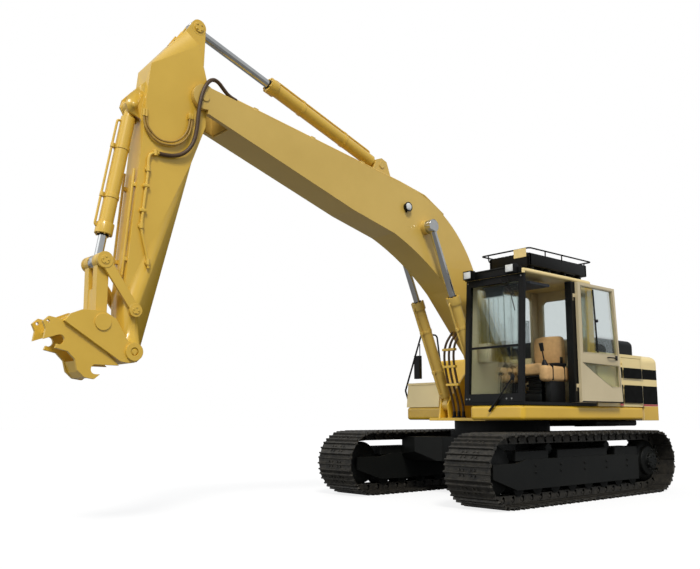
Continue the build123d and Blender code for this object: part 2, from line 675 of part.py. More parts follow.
def work_lamps():
    lamps = Part()
    roof_front = post_x(CAB_ROOF) + 30
    for y in (560, 1250):
        lamps += block((roof_front + SEAT, roof_front + 30), (y - 20, y + 20), (CAB_ROOF + 5, CAB_ROOF + 30))
        lamps += block((roof_front + 20, roof_front + 110), (y - 65, y + 65), (2900, 3020))
    return lamps


RAIL_Y = -HALF_DECK - 24
RAIL_RADIUS = 14
RAIL_LOW = (600, 1490)
RAIL_HIGH = (215, 2420)


def handrail():
    """The rail up the right front, clamped to the toolbox and to the tank."""
    path = [(510, RAIL_Y, 1280), (RAIL_LOW[0], RAIL_Y, RAIL_LOW[1]), (RAIL_HIGH[0], RAIL_Y, RAIL_HIGH[1]),
            (-150, RAIL_Y, 2420), (-240, RAIL_Y, 1860)]
    rail = bent_tube(path, 60, RAIL_RADIUS)
    for x, z in ((528, 1322), (-233, 1905)):
        rail += block((x - 16, x + 16), (RAIL_Y, -HALF_DECK - SEAT), (z - 16, z + 16))
    return rail


def mirror_on_arm():
    """The rear-view mirror, hung from the rail by its arm."""
    x = 262
    slope = (RAIL_HIGH[1] - RAIL_LOW[1]) / (RAIL_HIGH[0] - RAIL_LOW[0])
    arm = 8
    under_rail = RAIL_LOW[1] + slope * (x + arm - RAIL_LOW[0]) - RAIL_RADIUS * hypot(1, slope) - SEAT
    head = block((x - 28, x + 28), (RAIL_Y - 106, RAIL_Y + 14), (1690, 2060))
    return head + bar((x, RAIL_Y, 2050), (x, RAIL_Y, under_rail), arm)


def exhaust():
    low = HOOD_TOP + SEAT
    return Pos(-1350, -480, low) * Cylinder(55, 420, align=(Align.CENTER, Align.CENTER, Align.MIN))


# Boom

BOOM_TOP_EDGE = ((5180, 4610), (2090, 4120))
BOOM_TOP_BEND = ((1420, 3840), (830, 3170))
BOOM_BELLY = ((5200, 4310), (3100, 3625), (2400, 3445))
BOOM_BELLY_BEND = ((1820, 3150), (1340, 2790))
BOOM_NOSE_RADIUS = 140
BOOM_FOOT_RADIUS = 165


def boom_side(inset):
    """The boom's side view, drawn in by a wall's thickness."""
    foot_x, foot_z = BOOM_FOOT
    top = Line(*BOOM_TOP_EDGE)
    top_bend = ThreePointArc(BOOM_TOP_EDGE[1], BOOM_TOP_BEND[0], BOOM_TOP_BEND[1])
    back = Line(BOOM_TOP_BEND[1], (foot_x - 150, foot_z + 70))
    sole = Line((foot_x - 150, foot_z + 70), (foot_x + 130, foot_z - 100))
    front = Line((foot_x + 130, foot_z - 100), BOOM_BELLY_BEND[1])
    belly_bend = ThreePointArc(BOOM_BELLY_BEND[1], BOOM_BELLY_BEND[0], BOOM_BELLY[2])
    belly = Polyline(BOOM_BELLY[2], BOOM_BELLY[1], BOOM_BELLY[0])
    nose = Line(BOOM_BELLY[0], BOOM_TOP_EDGE[0])
    face = make_face(Curve() + [top, top_bend, back, sole, front, belly_bend, belly, nose])
    return offset(face, -inset) if inset else face


def boom():
    face = boom_side(0)
    half = BOOM_HALF
    part = side_slab(face, -half, half)
    part -= side_slab(boom_side(WEB_PLATE), -half + WEB_PLATE, half - WEB_PLATE)
    foot = cross_pin(BOOM_FOOT, BOOM_FOOT_RADIUS, -half, half)
    part += foot
    part -= cross_pin(BOOM_FOOT, 52 + PIN_FIT, -half - 20, half + 20)
    # The nose is a fork for the stick
    part += cross_pin(STICK_PIVOT, BOOM_NOSE_RADIUS, -half, half)
    slot = block((STICK_PIVOT[0] - 330, STICK_PIVOT[0] + 400), (-STICK_HALF - 6, STICK_HALF + 6), (4000, 5000))
    part -= slot
    part += block((STICK_PIVOT[0] - 345, STICK_PIVOT[0] - 330), (-half + 2, half - 2), (4240, 4480))
    part += cross_pin(STICK_PIVOT, 50, -half - 12, half + 12)
    # The cylinder pins stand out of the sides, as far as the cylinders' eyes
    eye_y = BOOM_CYL_Y - CYLINDERS["boom"][3] - SIDE_FIT
    for low, high in ((-eye_y, -half + 1), (half - 1, eye_y)):
        part += cross_pin(BOOM_CYL_EYE, 95, low, high)
    # The two ears of the stick's cylinder
    x, z = STICK_CYL_BASE
    ear = side_face([(x - 190, z - 200), (x - 90, z + 60), (x, z + 95), (x + 90, z + 60), (x + 190, z - 170)])
    eye = CYLINDERS["stick"][3] + SIDE_FIT
    part += both_sides(side_slab(ear, eye, eye + EAR_PLATE))
    return part + cross_pin(STICK_CYL_BASE, 45, -eye - EAR_PLATE - 10, eye + EAR_PLATE + 10)


PIPE_RADIUS = 16
PIPE_LIFT = 34
STICK_PIPE_RADIUS = 14
STICK_PIPE_Z = (3550, 2450)


def boom_pipes():
    """Steel pipes along the boom's top, from the bend to the nose."""
    straight = Line(*BOOM_TOP_EDGE)
    bend = ThreePointArc(BOOM_TOP_EDGE[1], BOOM_TOP_BEND[0], BOOM_TOP_BEND[1])
    line = []
    for edge, share in ((straight, 0.12), (straight, 0.95), (bend, 0.2), (bend, 0.45)):
        place = edge @ share
        way = edge % share
        lift = PIPE_LIFT if edge is straight else PIPE_LIFT + 22
        line.append((place.X + way.Y * lift, place.Y - way.X * lift))
    pipes = Part()
    for y in (-150, -105, 105, 150):
        pipes += bent_tube([(x, y, z) for x, z in line], 120, PIPE_RADIUS)
    way = straight % 0
    for share in (0.2, 0.47, 0.73):
        place = straight @ share
        clamp = Plane(origin=(place.X, 0, place.Y), x_dir=(way.X, 0, way.Y), z_dir=(way.Y, 0, -way.X))
        block_height = PIPE_LIFT + PIPE_RADIUS
        pipes += clamp * Pos(0, 0, SEAT) * Box(60, 350, block_height, align=(Align.CENTER, Align.CENTER, Align.MIN))
    return pipes


def boom_lamp():
    return block((2120, 2230), (BOOM_HALF + SEAT, BOOM_HALF + 80), (3770, 3890))


# Stick

STICK_BACK = ((5300, 5080), (5190, 4700), (5190, 4180), (5350, 3740), (5845, 1760))
STICK_FRONT = ((6010, 1640), (6035, 2250), (5925, 3700), (5880, 4400), (5850, 4700), (5460, 5200))


def stick():
    half = STICK_HALF
    face = side_face(STICK_BACK + STICK_FRONT)
    part = side_slab(face, -half, half)
    part -= side_slab(offset(face, -WEB_PLATE), -half + WEB_PLATE, half - WEB_PLATE)
    part += cross_pin(STICK_PIVOT, 150, -half, half)
    part -= cross_pin(STICK_PIVOT, 50 + PIN_FIT, -half - 10, half + 10)
    part += cross_pin(STICK_TIP, 105, -half - 4, half + 4)
    part += cross_pin(STICK_TIP, 40, -half - 60, half + 60)
    ears = side_face([(5130, 5080), (5190, 5400), (5340, 5430), (5560, 5080)])
    eye = CYLINDERS["stick"][3] + SIDE_FIT
    part += both_sides(side_slab(ears, eye, eye + EAR_PLATE))
    part += cross_pin(IDLER_PIN, 38, -half - 50, half + 50)
    x, z = BUCKET_CYL_BASE
    ear = side_face([
        (x - 115, z - 220), (x - 130, z + 300), (x - 20, z + 180), (x + 70, z + 75), (x + 90, z - 10), (x + 45, z - 85), (x - 70, z - 130),
    ])
    eye = CYLINDERS["bucket"][3] + SIDE_FIT
    part += both_sides(side_slab(ear, eye, eye + EAR_PLATE))
    return part + cross_pin(BUCKET_CYL_BASE, 40, -eye - EAR_PLATE - 10, eye + EAR_PLATE + 10)


def stick_front(z):
    """The stick's front face at a height on its long straight stretch."""
    (low_x, low_z), (high_x, high_z) = STICK_FRONT[1:3]
    return low_x + (high_x - low_x) * (z - low_z) / (high_z - low_z)


def stick_pipes():
    """Two steel pipes down the stick's front face, on clamp blocks."""
    pipes = Part()
    high, low = STICK_PIPE_Z
    for y in (-110, 110):
        ends = [(stick_front(z) + PIPE_LIFT, y, z) for z in (high, low)]
        pipes += bar(*ends, STICK_PIPE_RADIUS)
        for share in (0.15, 0.85):
            z = low + (high - low) * share
            clamp = side_face([
                (stick_front(z - 20) + SEAT, z - 20), (stick_front(z + 20) + SEAT, z + 20),
                (stick_front(z + 20) + PIPE_LIFT, z + 20), (stick_front(z - 20) + PIPE_LIFT, z - 20),
            ])
            pipes += side_slab(clamp, y - 22, y + 22)
    return pipes


# Cylinders

def lie_along(base, tip, y):
    """A plane whose Z runs from the base pin to the tip pin."""
    way = Vector(tip[0] - base[0], 0, tip[1] - base[1])
    return Plane(origin=(base[0], y, base[1]), x_dir=(0, 1, 0), z_dir=way), way.length


def barrel(kind, base, tip, y, pin_radius):
    """A cylinder barrel with its base eye, open at the gland for the rod."""
    outside, rod, eye_radius, eye_half, length, piston = CYLINDERS[kind]
    frame, reach = lie_along(base, tip, y)
    low = (Align.CENTER, Align.CENTER, Align.MIN)
    neck = Pos(0, 0, eye_radius - 20) * Cylinder(eye_half, BARREL_START, align=low)
    tube = Pos(0, 0, BARREL_START) * Cylinder(outside, length - BARREL_START, align=low)
    head = Pos(0, 0, length - GLAND_LENGTH) * Cylinder(outside + 16, GLAND_LENGTH, align=low)
    bore_depth = length - BARREL_START - BARREL_WALL - GLAND_LENGTH
    bore = Pos(0, 0, BARREL_START + BARREL_WALL) * Cylinder(outside - BARREL_WALL, bore_depth, align=low)
    way_out = Pos(0, 0, length - GLAND_LENGTH - 10) * Cylinder(rod + PIN_FIT, length, align=low)
    part = frame * (neck + tube + head - bore - way_out)
    part += cross_pin(base, eye_radius, y - eye_half, y + eye_half)
    return part - cross_pin(base, pin_radius + PIN_FIT, y - eye_half - 5, y + eye_half + 5)


def rod(kind, base, tip, y):
    """A cylinder rod with its piston and its eye, in which its own pin sits."""
    outside, radius, eye_radius, eye_half, length, piston = CYLINDERS[kind]
    frame, reach = lie_along(base, tip, y)
    low = (Align.CENTER, Align.CENTER, Align.MIN)
    shaft = Pos(0, 0, piston) * Cylinder(radius, reach - piston, align=low)
    head = Pos(0, 0, piston) * Cylinder(outside - BARREL_WALL - PIN_FIT, 60, align=low)
    part = frame * (shaft + head)
    return part + cross_pin(tip, eye_radius, y - eye_half, y + eye_half)


# Bucket linkage

def link_plate(start, end, radius_start, radius_end, y_low, y_high):
    """A straight link plate with a round boss at each end."""
    way_x, way_z = end[0] - start[0], end[1] - start[1]
    span = hypot(way_x, way_z)
    side_x, side_z = -way_z / span, way_x / span
    neck_a, neck_b = radius_start * 0.75, radius_end * 0.75
    web = side_face([
        (start[0] + side_x * neck_a, start[1] + side_z * neck_a), (end[0] + side_x * neck_b, end[1] + side_z * neck_b),
        (end[0] - side_x * neck_b, end[1] - side_z * neck_b), (start[0] - side_x * neck_a, start[1] - side_z * neck_a),
    ])
    face = web + Pos(*start) * Circle(radius_start) + Pos(*end) * Circle(radius_end)
    return side_slab(face, y_low, y_high)


def idler_links():
    low = STICK_HALF + 12
    plate = link_plate(IDLER_PIN, LINK_PIN, 68, 85, low, low + 36)
    plate -= cross_pin(IDLER_PIN, 38 + PIN_FIT, low - 5, low + 50)
    return both_sides(plate)


def power_link():
    eye = CYLINDERS["bucket"][3] + SIDE_FIT
    high = STICK_HALF - 2
    arm = link_plate(POWER_PIN, LINK_PIN, 72, 78, eye, high)
    part = both_sides(arm)
    middle_low = between(POWER_PIN, LINK_PIN, 0.0)
    middle_high = between(POWER_PIN, LINK_PIN, 0.55)
    part += block((middle_low[0] - 50, middle_low[0] + 50), (-eye - 1, eye + 1), (middle_low[1], middle_high[1]))
    part += cross_pin(POWER_PIN, 72, -high, high)
    return part - cross_pin(POWER_PIN, 38 + PIN_FIT, -high - 5, high + 5)


FRONT_JAW = (6640, 1775)
REAR_JAW = (6290, 1517)
JAW_RADIUS = 45.5
LIFTING_EYE = (6752, 1935)
LIFTING_EYE_RADIUS = 15
COUPLER_SKIN = 34


def coupler():
    """The quick coupler: two outer ears on a narrower body with a front jaw and a rear hook."""
    inner = STICK_HALF + 6
    ear = side_face([
        (5870, 1640), (5900, 1600), (5990, 1590), (6060, 1598), (6619, 1947), (6560, 2020), (6457, 2065),
        (6250, 2072), (6120, 2000), (6000, 1800), (5870, 1760),
    ])
    plate = side_slab(ear, inner, inner + 40)
    plate += cross_pin(STICK_TIP, 88, inner, inner + 62)
    plate += cross_pin(POWER_PIN, 80, inner, inner + 52)
    plate -= cross_pin(STICK_TIP, 40 + PIN_FIT, inner - 5, inner + 80)
    part = both_sides(plate)
    jaw_x, jaw_z = REAR_JAW
    body = side_face([
        (6060, jaw_z + JAW_RADIUS), (jaw_x, jaw_z + JAW_RADIUS), (jaw_x, jaw_z - JAW_RADIUS),
        (jaw_x - 46, jaw_z - JAW_RADIUS), (6300, 1425), (6393, 1438), (6462, 1500), (6489, 1601), (6560, 1672),
        (6676, 1696), (6662, 1735), (6620, 1770), (6664, 1815), (6784, 1770), (6770, 1864), (6800, 1931),
        (6746, 1983), (6636, 1965), (6560, 2010), (6500, 1960), (6150, 1640),
    ])
    body -= Pos(*REAR_JAW) * Circle(JAW_RADIUS)
    body -= Pos(*FRONT_JAW) * Circle(JAW_RADIUS)
    body -= Pos(*LIFTING_EYE) * Circle(LIFTING_EYE_RADIUS)
    part += both_sides(side_slab(body, inner - COUPLER_SKIN, inner + 2))
    nose_web = side_face([(6530, 1990), (6640, 1950), (6700, 1850), (6560, 1850)])
    hook_web = side_face([(6480, 1590), (6440, 1490), (6393, 1440), (6345, 1435), (6350, 1470), (6380, 1590)])
    for web in (nose_web, hook_web):
        part += side_slab(web, -inner, inner)
    part += cross_pin(POWER_PIN, 38, -inner - 5, inner + 5)
    return part


SIDES = {"left": 1, "right": -1}


def nodes():
    """Every piece of the machine, by name."""
    pieces = {
        "carbody": carbody(),
        "track_frames": track_frame(1) + track_frame(-1),
        "idlers": idler(1) + idler(-1),
        "sprockets": sprocket(1) + sprocket(-1),
        "swing_bearing": swing_bearing(),
        "main_frame": main_frame(),
        "decks": deck_side(1, DECK_FRONT) + deck_side(-1, TOOLBOX_X[1] + 10),
        "counterweight": counterweight(),
        "engine": engine(),
        "engine_housing": housing(),
        "engine_hood": hood(),
        "radiator_door": side_door(1, RADIATOR_DOOR_FRONT),
        "pump_door": side_door(-1, PUMP_DOOR_FRONT),
        "tanks": tanks(),
        "toolbox": toolbox(),
        "toolbox_lid": toolbox_lid(),
        "cab_floor": cab_floor(),
        "cab_left_wall": cab_left_wall(),
        "cab_right_wall": cab_right_wall(),
        "cab_rear_wall": cab_rear_wall(),
        "cab_front_frame": cab_front_frame(),
        "cab_roof": cab_roof(),
        "cab_glass": cab_glass(),
        "seat": seat(),
        "consoles": consoles(),
        "cab_door": cab_door(),
        "cab_door_glass": cab_door_glass(),
        "roof_guard": roof_guard(),
        "work_lamps": work_lamps(),
        "handrail": handrail(),
        "mirror": mirror_on_arm(),
        "exhaust": exhaust(),
        "boom": boom(),
        "boom_pipes": boom_pipes(),
        "boom_lamp": boom_lamp(),
        "stick": stick(),
        "stick_pipes": stick_pipes(),
        "stick_barrel": barrel("stick", STICK_CYL_BASE, STICK_CYL_EYE, 0, 45),
        "stick_rod": rod("stick", STICK_CYL_BASE, STICK_CYL_EYE, 0),
        "bucket_barrel": barrel("bucket", BUCKET_CYL_BASE, LINK_PIN, 0, 40),
        "bucket_rod": rod("bucket", BUCKET_CYL_BASE, LINK_PIN, 0),
        "idler_links": idler_links(),
        "power_link": power_link(),
        "coupler": coupler(),
    }
    spacing = (IDLER_X - SPROCKET_X - 2 * WHEEL_RADIUS - 260) / (ROLLER_COUNT - 1)
    first = SPROCKET_X + WHEEL_RADIUS + 130
    rollers = [track_roller(first + i * spacing, side) for side in (1, -1) for i in range(ROLLER_COUNT)]
    carriers = [carrier_roller(x, side) for side in (1, -1) for x in (-CARRIER_X, CARRIER_X)]
    pieces["track_rollers"] = Part() + rollers
    pieces["carrier_rollers"] = Part() + carriers
    for name, side in SIDES.items():
        pieces["track_" + name] = track(side)
        y = side * BOOM_CYL_Y
        pieces["boom_barrel_" + name] = barrel("boom", BOOM_CYL_BASE, BOOM_CYL_EYE, y, 45)
        pieces["boom_rod_" + name] = rod("boom", BOOM_CYL_BASE, BOOM_CYL_EYE, y)
    return pieces


os.makedirs("parts", exist_ok=True)
for name, piece in nodes().items():
    export_step(Pos(-CENTRE_X, 0, 0) * piece, f"parts/{name}.step")
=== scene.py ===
# %% [markdown]
# # A crawler excavator, finished in Blender
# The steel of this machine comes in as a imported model: every plate, pin and cylinder already has its real
# size and place. This lesson gives those pieces their paint, and adds what is too small for the model of
# the steelwork, such as bolts, seals, stripes and hoses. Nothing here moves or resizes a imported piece.

# %% Load the frame
import json
import math

import bmesh
import bpy
from mathutils import Matrix, Vector


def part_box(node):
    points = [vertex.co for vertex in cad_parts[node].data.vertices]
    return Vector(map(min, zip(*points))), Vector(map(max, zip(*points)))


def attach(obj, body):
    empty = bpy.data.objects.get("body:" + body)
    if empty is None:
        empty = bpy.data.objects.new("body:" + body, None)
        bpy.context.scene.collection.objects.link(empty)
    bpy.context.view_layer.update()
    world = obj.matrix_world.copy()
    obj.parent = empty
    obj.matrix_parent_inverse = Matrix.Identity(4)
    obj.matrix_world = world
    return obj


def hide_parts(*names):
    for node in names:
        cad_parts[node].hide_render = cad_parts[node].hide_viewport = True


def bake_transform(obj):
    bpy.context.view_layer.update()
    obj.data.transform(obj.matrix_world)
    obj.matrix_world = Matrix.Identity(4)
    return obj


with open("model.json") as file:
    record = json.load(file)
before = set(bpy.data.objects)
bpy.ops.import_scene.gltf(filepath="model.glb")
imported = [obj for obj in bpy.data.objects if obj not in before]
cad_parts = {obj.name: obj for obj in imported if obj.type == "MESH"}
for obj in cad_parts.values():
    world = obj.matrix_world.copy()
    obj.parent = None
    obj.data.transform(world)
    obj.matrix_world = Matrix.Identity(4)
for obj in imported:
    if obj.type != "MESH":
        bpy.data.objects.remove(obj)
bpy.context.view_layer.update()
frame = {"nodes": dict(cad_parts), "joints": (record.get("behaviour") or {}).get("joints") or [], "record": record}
nodes = frame["nodes"]

# %% [markdown]
# ## Places
# The machine's own zero is the swing axis on the ground, because everything on the upper structure is
# measured from it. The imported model's zero is the middle of the whole length, so each place is shifted
# once by the position of the swing joint. New pieces are shifted as they are finished.

# %% The swing axis as zero
joints = {joint["name"]: joint for joint in frame["joints"]}
SWING_X = joints["swing"]["pos_m"][0]


def at(x, y, z):
    """A point measured from the swing axis on the ground, in metres."""
    return Vector((x + SWING_X, y, z))


print("swing axis at x =", SWING_X)

# %% Small helpers
WHITE = (1, 1, 1, 1)


def new_object(name, data):
    """An object that holds the data, linked to the scene."""
    made = bpy.data.objects.new(name, data)
    bpy.context.scene.collection.objects.link(made)
    return made


def node(tree, kind, **values):
    """A new shader node; its inputs are set by name, its properties by lower-case name."""
    made = tree.nodes.new("ShaderNode" + kind)
    for name, value in values.items():
        if hasattr(made, name):
            setattr(made, name, value)
        else:
            made.inputs[name.replace("_", " ")].default_value = value
    return made


def empty_tree(owner):
    """The node tree of a world or a material, with nothing in it."""
    owner.use_nodes = True
    owner.node_tree.nodes.clear()
    return owner.node_tree


def camera_sees(tree, kind, for_light, for_camera):
    """Two shaders in one output: the camera sees the second, and all other rays meet the first."""
    output = node(tree, "Output" + kind)
    choose = node(tree, "MixShader")
    path = node(tree, "LightPath")
    tree.links.new(path.outputs["Is Camera Ray"], choose.inputs["Fac"])
    tree.links.new(for_light, choose.inputs[1])
    tree.links.new(for_camera, choose.inputs[2])
    tree.links.new(choose.outputs["Shader"], output.inputs["Surface"])

# %% [markdown]
# ## Camera
# The picture was taken from the front left at about waist height, close enough that the boom's tip looms
# large. A perspective camera with a slight rise of the frame gives the same vanishing lines.

# %% Camera
FOCAL_PIXELS = 765
PICTURE_WIDTH = 700
PICTURE_HEIGHT = 569
PRINCIPAL_Y = 305.2     # where the optical axis meets the picture, down from its top edge
YAW = -131.26           # degrees
PITCH = 8.41
EYE = (9.229, 7.12, 1.063)
SENSOR_WIDTH = 36       # millimetres

camera = bpy.data.cameras.new("camera")
camera.sensor_width = SENSOR_WIDTH
camera.lens = FOCAL_PIXELS / PICTURE_WIDTH * SENSOR_WIDTH
camera.shift_y = (PRINCIPAL_Y - PICTURE_HEIGHT / 2) / PICTURE_WIDTH
camera_object = new_object("camera", camera)
camera_object.location = at(*EYE)
camera_object.rotation_euler = (math.radians(90 + PITCH), 0, math.radians(YAW - 90))
bpy.context.scene.camera = camera_object
print("lens", round(camera.lens, 2), "mm")

# %% [markdown]
# ## Light, floor and backdrop
# A studio for a machine this large is a bright, even surround with one broad lamp. The surround lights the
# object at a plain level, while the camera sees it as clean white.

# %% World
WORLD_LIGHT = 0.62
SKY = (0.93, 0.96, 1.0, 1)

world = bpy.data.worlds.new("studio")
bpy.context.scene.world = world
tree = empty_tree(world)
lit = node(tree, "Background", Color=SKY, Strength=WORLD_LIGHT)
seen = node(tree, "Background", Color=WHITE, Strength=1.0)
camera_sees(tree, "World", lit.outputs["Background"], seen.outputs["Background"])
print("surround:", WORLD_LIGHT)

# %% Lamps
lamps = (
    # name, energy, angle in degrees, colour, where the light comes from
    ("key", 2.3, 14, (1.0, 0.97, 0.92), (0.55, 0.75, 1.0)),
    ("fill", 0.8, 60, (0.95, 0.97, 1.0), (1.0, -0.35, 0.35)),
)
for name, energy, angle, colour, source in lamps:
    lamp = bpy.data.lights.new(name, "SUN")
    lamp.energy = energy
    lamp.angle = math.radians(angle)
    lamp.color = colour
    new_object(name, lamp).rotation_euler = Vector(source).to_track_quat("Z", "Y").to_euler()
print("lamps:", [row[0] for row in lamps])

# %% Floor
FLOOR_SIZE = 120
FLOOR_GREY = (0.2, 0.2, 0.2, 1)
FLOOR_GLOW = 0.8        # what the camera sees besides the grey, so that the floor is pale
FLOOR_DROP = 0.001      # below the tracks, so that no faces coincide

floor_mesh = bpy.data.meshes.new("floor")
bm = bmesh.new()
bmesh.ops.create_grid(bm, x_segments=1, y_segments=1, size=FLOOR_SIZE / 2)
bm.to_mesh(floor_mesh)
bm.free()
floor = new_object("floor", floor_mesh)
floor.location = (0, 0, -FLOOR_DROP)
floor_paint = bpy.data.materials.new("floor")
tree = empty_tree(floor_paint)
matt = node(tree, "BsdfDiffuse", Color=FLOOR_GREY)
glow = node(tree, "Emission", Color=WHITE, Strength=FLOOR_GLOW)
both = node(tree, "AddShader")
tree.links.new(matt.outputs["BSDF"], both.inputs[0])
tree.links.new(glow.outputs["Emission"], both.inputs[1])
camera_sees(tree, "Material", matt.outputs["BSDF"], both.outputs["Shader"])
floor_mesh.materials.append(floor_paint)
print("floor", FLOOR_SIZE, "m square")

# %% [markdown]
# ## Finishes
# Machine paint is thick, glossy enamel over steel plate. Up close it has a faint orange-peel surface, broad
# patches where it has weathered a little lighter or darker, and a thin film of dust on faces that look up.
# One function builds that enamel, and each colour is a call with its own values.

# %% Colour and pattern helpers
def rgb(colour):
    """An sRGB colour from 0 to 255, as linear values."""
    shares = (c / 255 for c in colour)
    return tuple(c / 12.92 if c <= 0.04 else ((c + 0.055) / 1.055) ** 2.4 for c in shares) + (1,)


def grey(value):
    return (value,) * 3 + (1,)


def start_material(name):
    """A material, its tree, its main shader and the place on the object that patterns follow."""
    material = bpy.data.materials.new(name)
    material.use_nodes = True
    tree = material.node_tree
    shader = tree.nodes["Principled BSDF"]
    place = node(tree, "TexCoord")
    return material, tree, shader, place.outputs["Object"]


def noise(tree, place, scale, detail=4.0, roughness=0.55):
    made = node(tree, "TexNoise", Scale=scale, Detail=detail, Roughness=roughness)
    tree.links.new(place, made.inputs["Vector"])
    return made.outputs["Fac"]


def ramp(tree, factor, low, high, colour_low=grey(0), colour_high=WHITE):
    made = node(tree, "ValToRGB")
    made.color_ramp.elements[0].position = low
    made.color_ramp.elements[1].position = high
    made.color_ramp.elements[0].color = colour_low
    made.color_ramp.elements[1].color = colour_high
    tree.links.new(factor, made.inputs["Fac"])
    return made.outputs["Color"]


def mix(tree, factor, colour_a, colour_b, blend_type="MIX"):
    made = node(tree, "Mix", data_type="RGBA", blend_type=blend_type)
    for name, value in (("Factor", factor), ("A", colour_a), ("B", colour_b)):
        socket = made.inputs[name]
        if isinstance(value, bpy.types.NodeSocket):
            tree.links.new(value, socket)
        else:
            socket.default_value = value
    return made.outputs["Result"]


def bump(tree, shader, height, strength, distance, edge=0.0):
    """Relief from a height, over softly rounded edges where edge is their radius."""
    made = node(tree, "Bump", Strength=strength, Distance=distance)
    tree.links.new(height, made.inputs["Height"])
    if edge:
        soft = node(tree, "Bevel", samples=4, Radius=edge)
        tree.links.new(soft.outputs["Normal"], made.inputs["Normal"])
    tree.links.new(made.outputs["Normal"], shader.inputs["Normal"])


# %% Enamel
DUST = (176, 164, 140)


def enamel(name, colour, shade, roughness=0.34, coat=0.35, dust=0.10, edge=0.006, gleam=0.5):
    """Machine paint: a colour that drifts to a second shade, fine orange peel and some dust on top."""
    material, tree, shader, place = start_material(name)
    patches = ramp(tree, noise(tree, place, 1.3, 5), 0.36, 0.68)
    paint = mix(tree, patches, rgb(colour), rgb(shade))
    geometry = node(tree, "NewGeometry")
    upward = node(tree, "SeparateXYZ")
    tree.links.new(geometry.outputs["Normal"], upward.inputs["Vector"])
    on_top = ramp(tree, upward.outputs["Z"], 0.55, 1.0)
    speckle = ramp(tree, noise(tree, place, 9.0, 6, 0.7), 0.42, 0.72, grey(0), grey(dust))
    film = mix(tree, 1.0, on_top, speckle, "MULTIPLY")
    dusty = mix(tree, film, paint, rgb(DUST))
    tree.links.new(dusty, shader.inputs["Base Color"])
    spread = node(tree, "MapRange", To_Min=roughness - 0.06, To_Max=roughness + 0.12)
    tree.links.new(noise(tree, place, 3.1, 5), spread.inputs["Value"])
    tree.links.new(spread.outputs["Result"], shader.inputs["Roughness"])
    shader.inputs["Coat Weight"].default_value = coat
    shader.inputs["Coat Roughness"].default_value = 0.12
    shader.inputs["Specular IOR Level"].default_value = gleam
    bump(tree, shader, noise(tree, place, 60.0, 3), 0.06, 0.002, edge)
    return material


boom_yellow = enamel("boom_yellow", (212, 178, 88), (204, 170, 80))
arm_yellow = enamel("arm_yellow", (220, 180, 66), (211, 171, 58))
deck_yellow = enamel("deck_yellow", (218, 176, 44), (206, 164, 40))
cream = enamel("cream", (236, 213, 148), (228, 204, 140))
door_cream = enamel("door_cream", (204, 188, 150), (196, 180, 142))
black_enamel = enamel(
    "black_enamel", (12, 13, 13), (17, 17, 16), roughness=0.42, coat=0.0, dust=0.015, gleam=0.16,
)
chassis_enamel = enamel(
    "chassis_enamel", (13, 15, 14), (20, 21, 19), roughness=0.55, coat=0.0, dust=0.08, gleam=0.2,
)
print("enamels:", len(bpy.data.materials) - 1)

# %% [markdown]
# Track steel is bare: forged, rolled and then worn on the ground. Its colour drifts at random between dark
# steel and a dull brown-grey, and it is rough.

# %% Bare metals, rubber, glass and trim
def track_steel(name):
    """Dark worn steel with brown grime."""
    material, tree, shader, place = start_material(name)
    grime = ramp(tree, noise(tree, place, 14.0, 6, 0.65), 0.35, 0.7)
    tree.links.new(mix(tree, grime, rgb((44, 43, 41)), rgb((74, 70, 62))), shader.inputs["Base Color"])
    shader.inputs["Metallic"].default_value = 0.55
    rough = ramp(tree, noise(tree, place, 30.0), 0.3, 0.7, grey(0.42), grey(0.62))
    tree.links.new(rough, shader.inputs["Roughness"])
    bump(tree, shader, noise(tree, place, 45.0, 6, 0.7), 0.25, 0.004, 0.004)
    return material


def plain(
    name, colour, shade, roughness, metallic=0.0, scale=8.0, relief=0.05, edge=0.002, coat=0.0, gleam=0.5,
):
    """A simple finish whose colour and gloss drift a little."""
    material, tree, shader, place = start_material(name)
    drift = ramp(tree, noise(tree, place, scale, 5), 0.3, 0.7)
    tree.links.new(mix(tree, drift, rgb(colour), rgb(shade)), shader.inputs["Base Color"])
    gloss = ramp(
        tree, noise(tree, place, scale * 2.3, 4), 0.2, 0.8,
        grey(roughness * 0.85), grey(min(roughness * 1.2, 1.0)),
    )
    tree.links.new(gloss, shader.inputs["Roughness"])
    shader.inputs["Metallic"].default_value = metallic
    shader.inputs["Coat Weight"].default_value = coat
    shader.inputs["Specular IOR Level"].default_value = gleam
    bump(tree, shader, noise(tree, place, scale * 30, 3), relief, 0.001, edge)
    return material


def glass(name, tint):
    """Clear tinted glass with faint smears."""
    material, tree, shader, place = start_material(name)
    smear = ramp(tree, noise(tree, place, 5.0, 4), 0.3, 0.8, grey(0), grey(0.06))
    tree.links.new(smear, shader.inputs["Roughness"])
    shader.inputs["Base Color"].default_value = tint
    shader.inputs["Transmission Weight"].default_value = 1.0
    shader.inputs["IOR"].default_value = 1.12
    shader.inputs["Alpha"].default_value = 0.5
    return material


shoe_steel = track_steel("shoe_steel")
chrome = plain("chrome", (205, 205, 202), (190, 190, 188), 0.14, metallic=1.0, relief=0.01)
bare_bolt = plain("bare_bolt", (150, 150, 146), (120, 120, 116), 0.35, metallic=0.9)
rubber = plain("rubber", (14, 14, 14), (20, 20, 19), 0.6, scale=12, gleam=0.2)
brown_rubber = plain("brown_rubber", (84, 58, 28), (56, 42, 24), 0.5, scale=16)
dusty_rubber = plain("dusty_rubber", (176, 140, 62), (150, 118, 52), 0.55, scale=16)
black_plastic = plain("black_plastic", (14, 14, 14), (20, 20, 20), 0.5, gleam=0.25)
beige_plastic = plain("beige_plastic", (196, 178, 142), (184, 166, 130), 0.55)
grey_cloth = plain("grey_cloth", (66, 70, 76), (80, 84, 90), 0.9, scale=60, relief=0.4)
pane = glass("pane", (0.62, 0.75, 0.70, 1))
print("finishes:", len(bpy.data.materials))

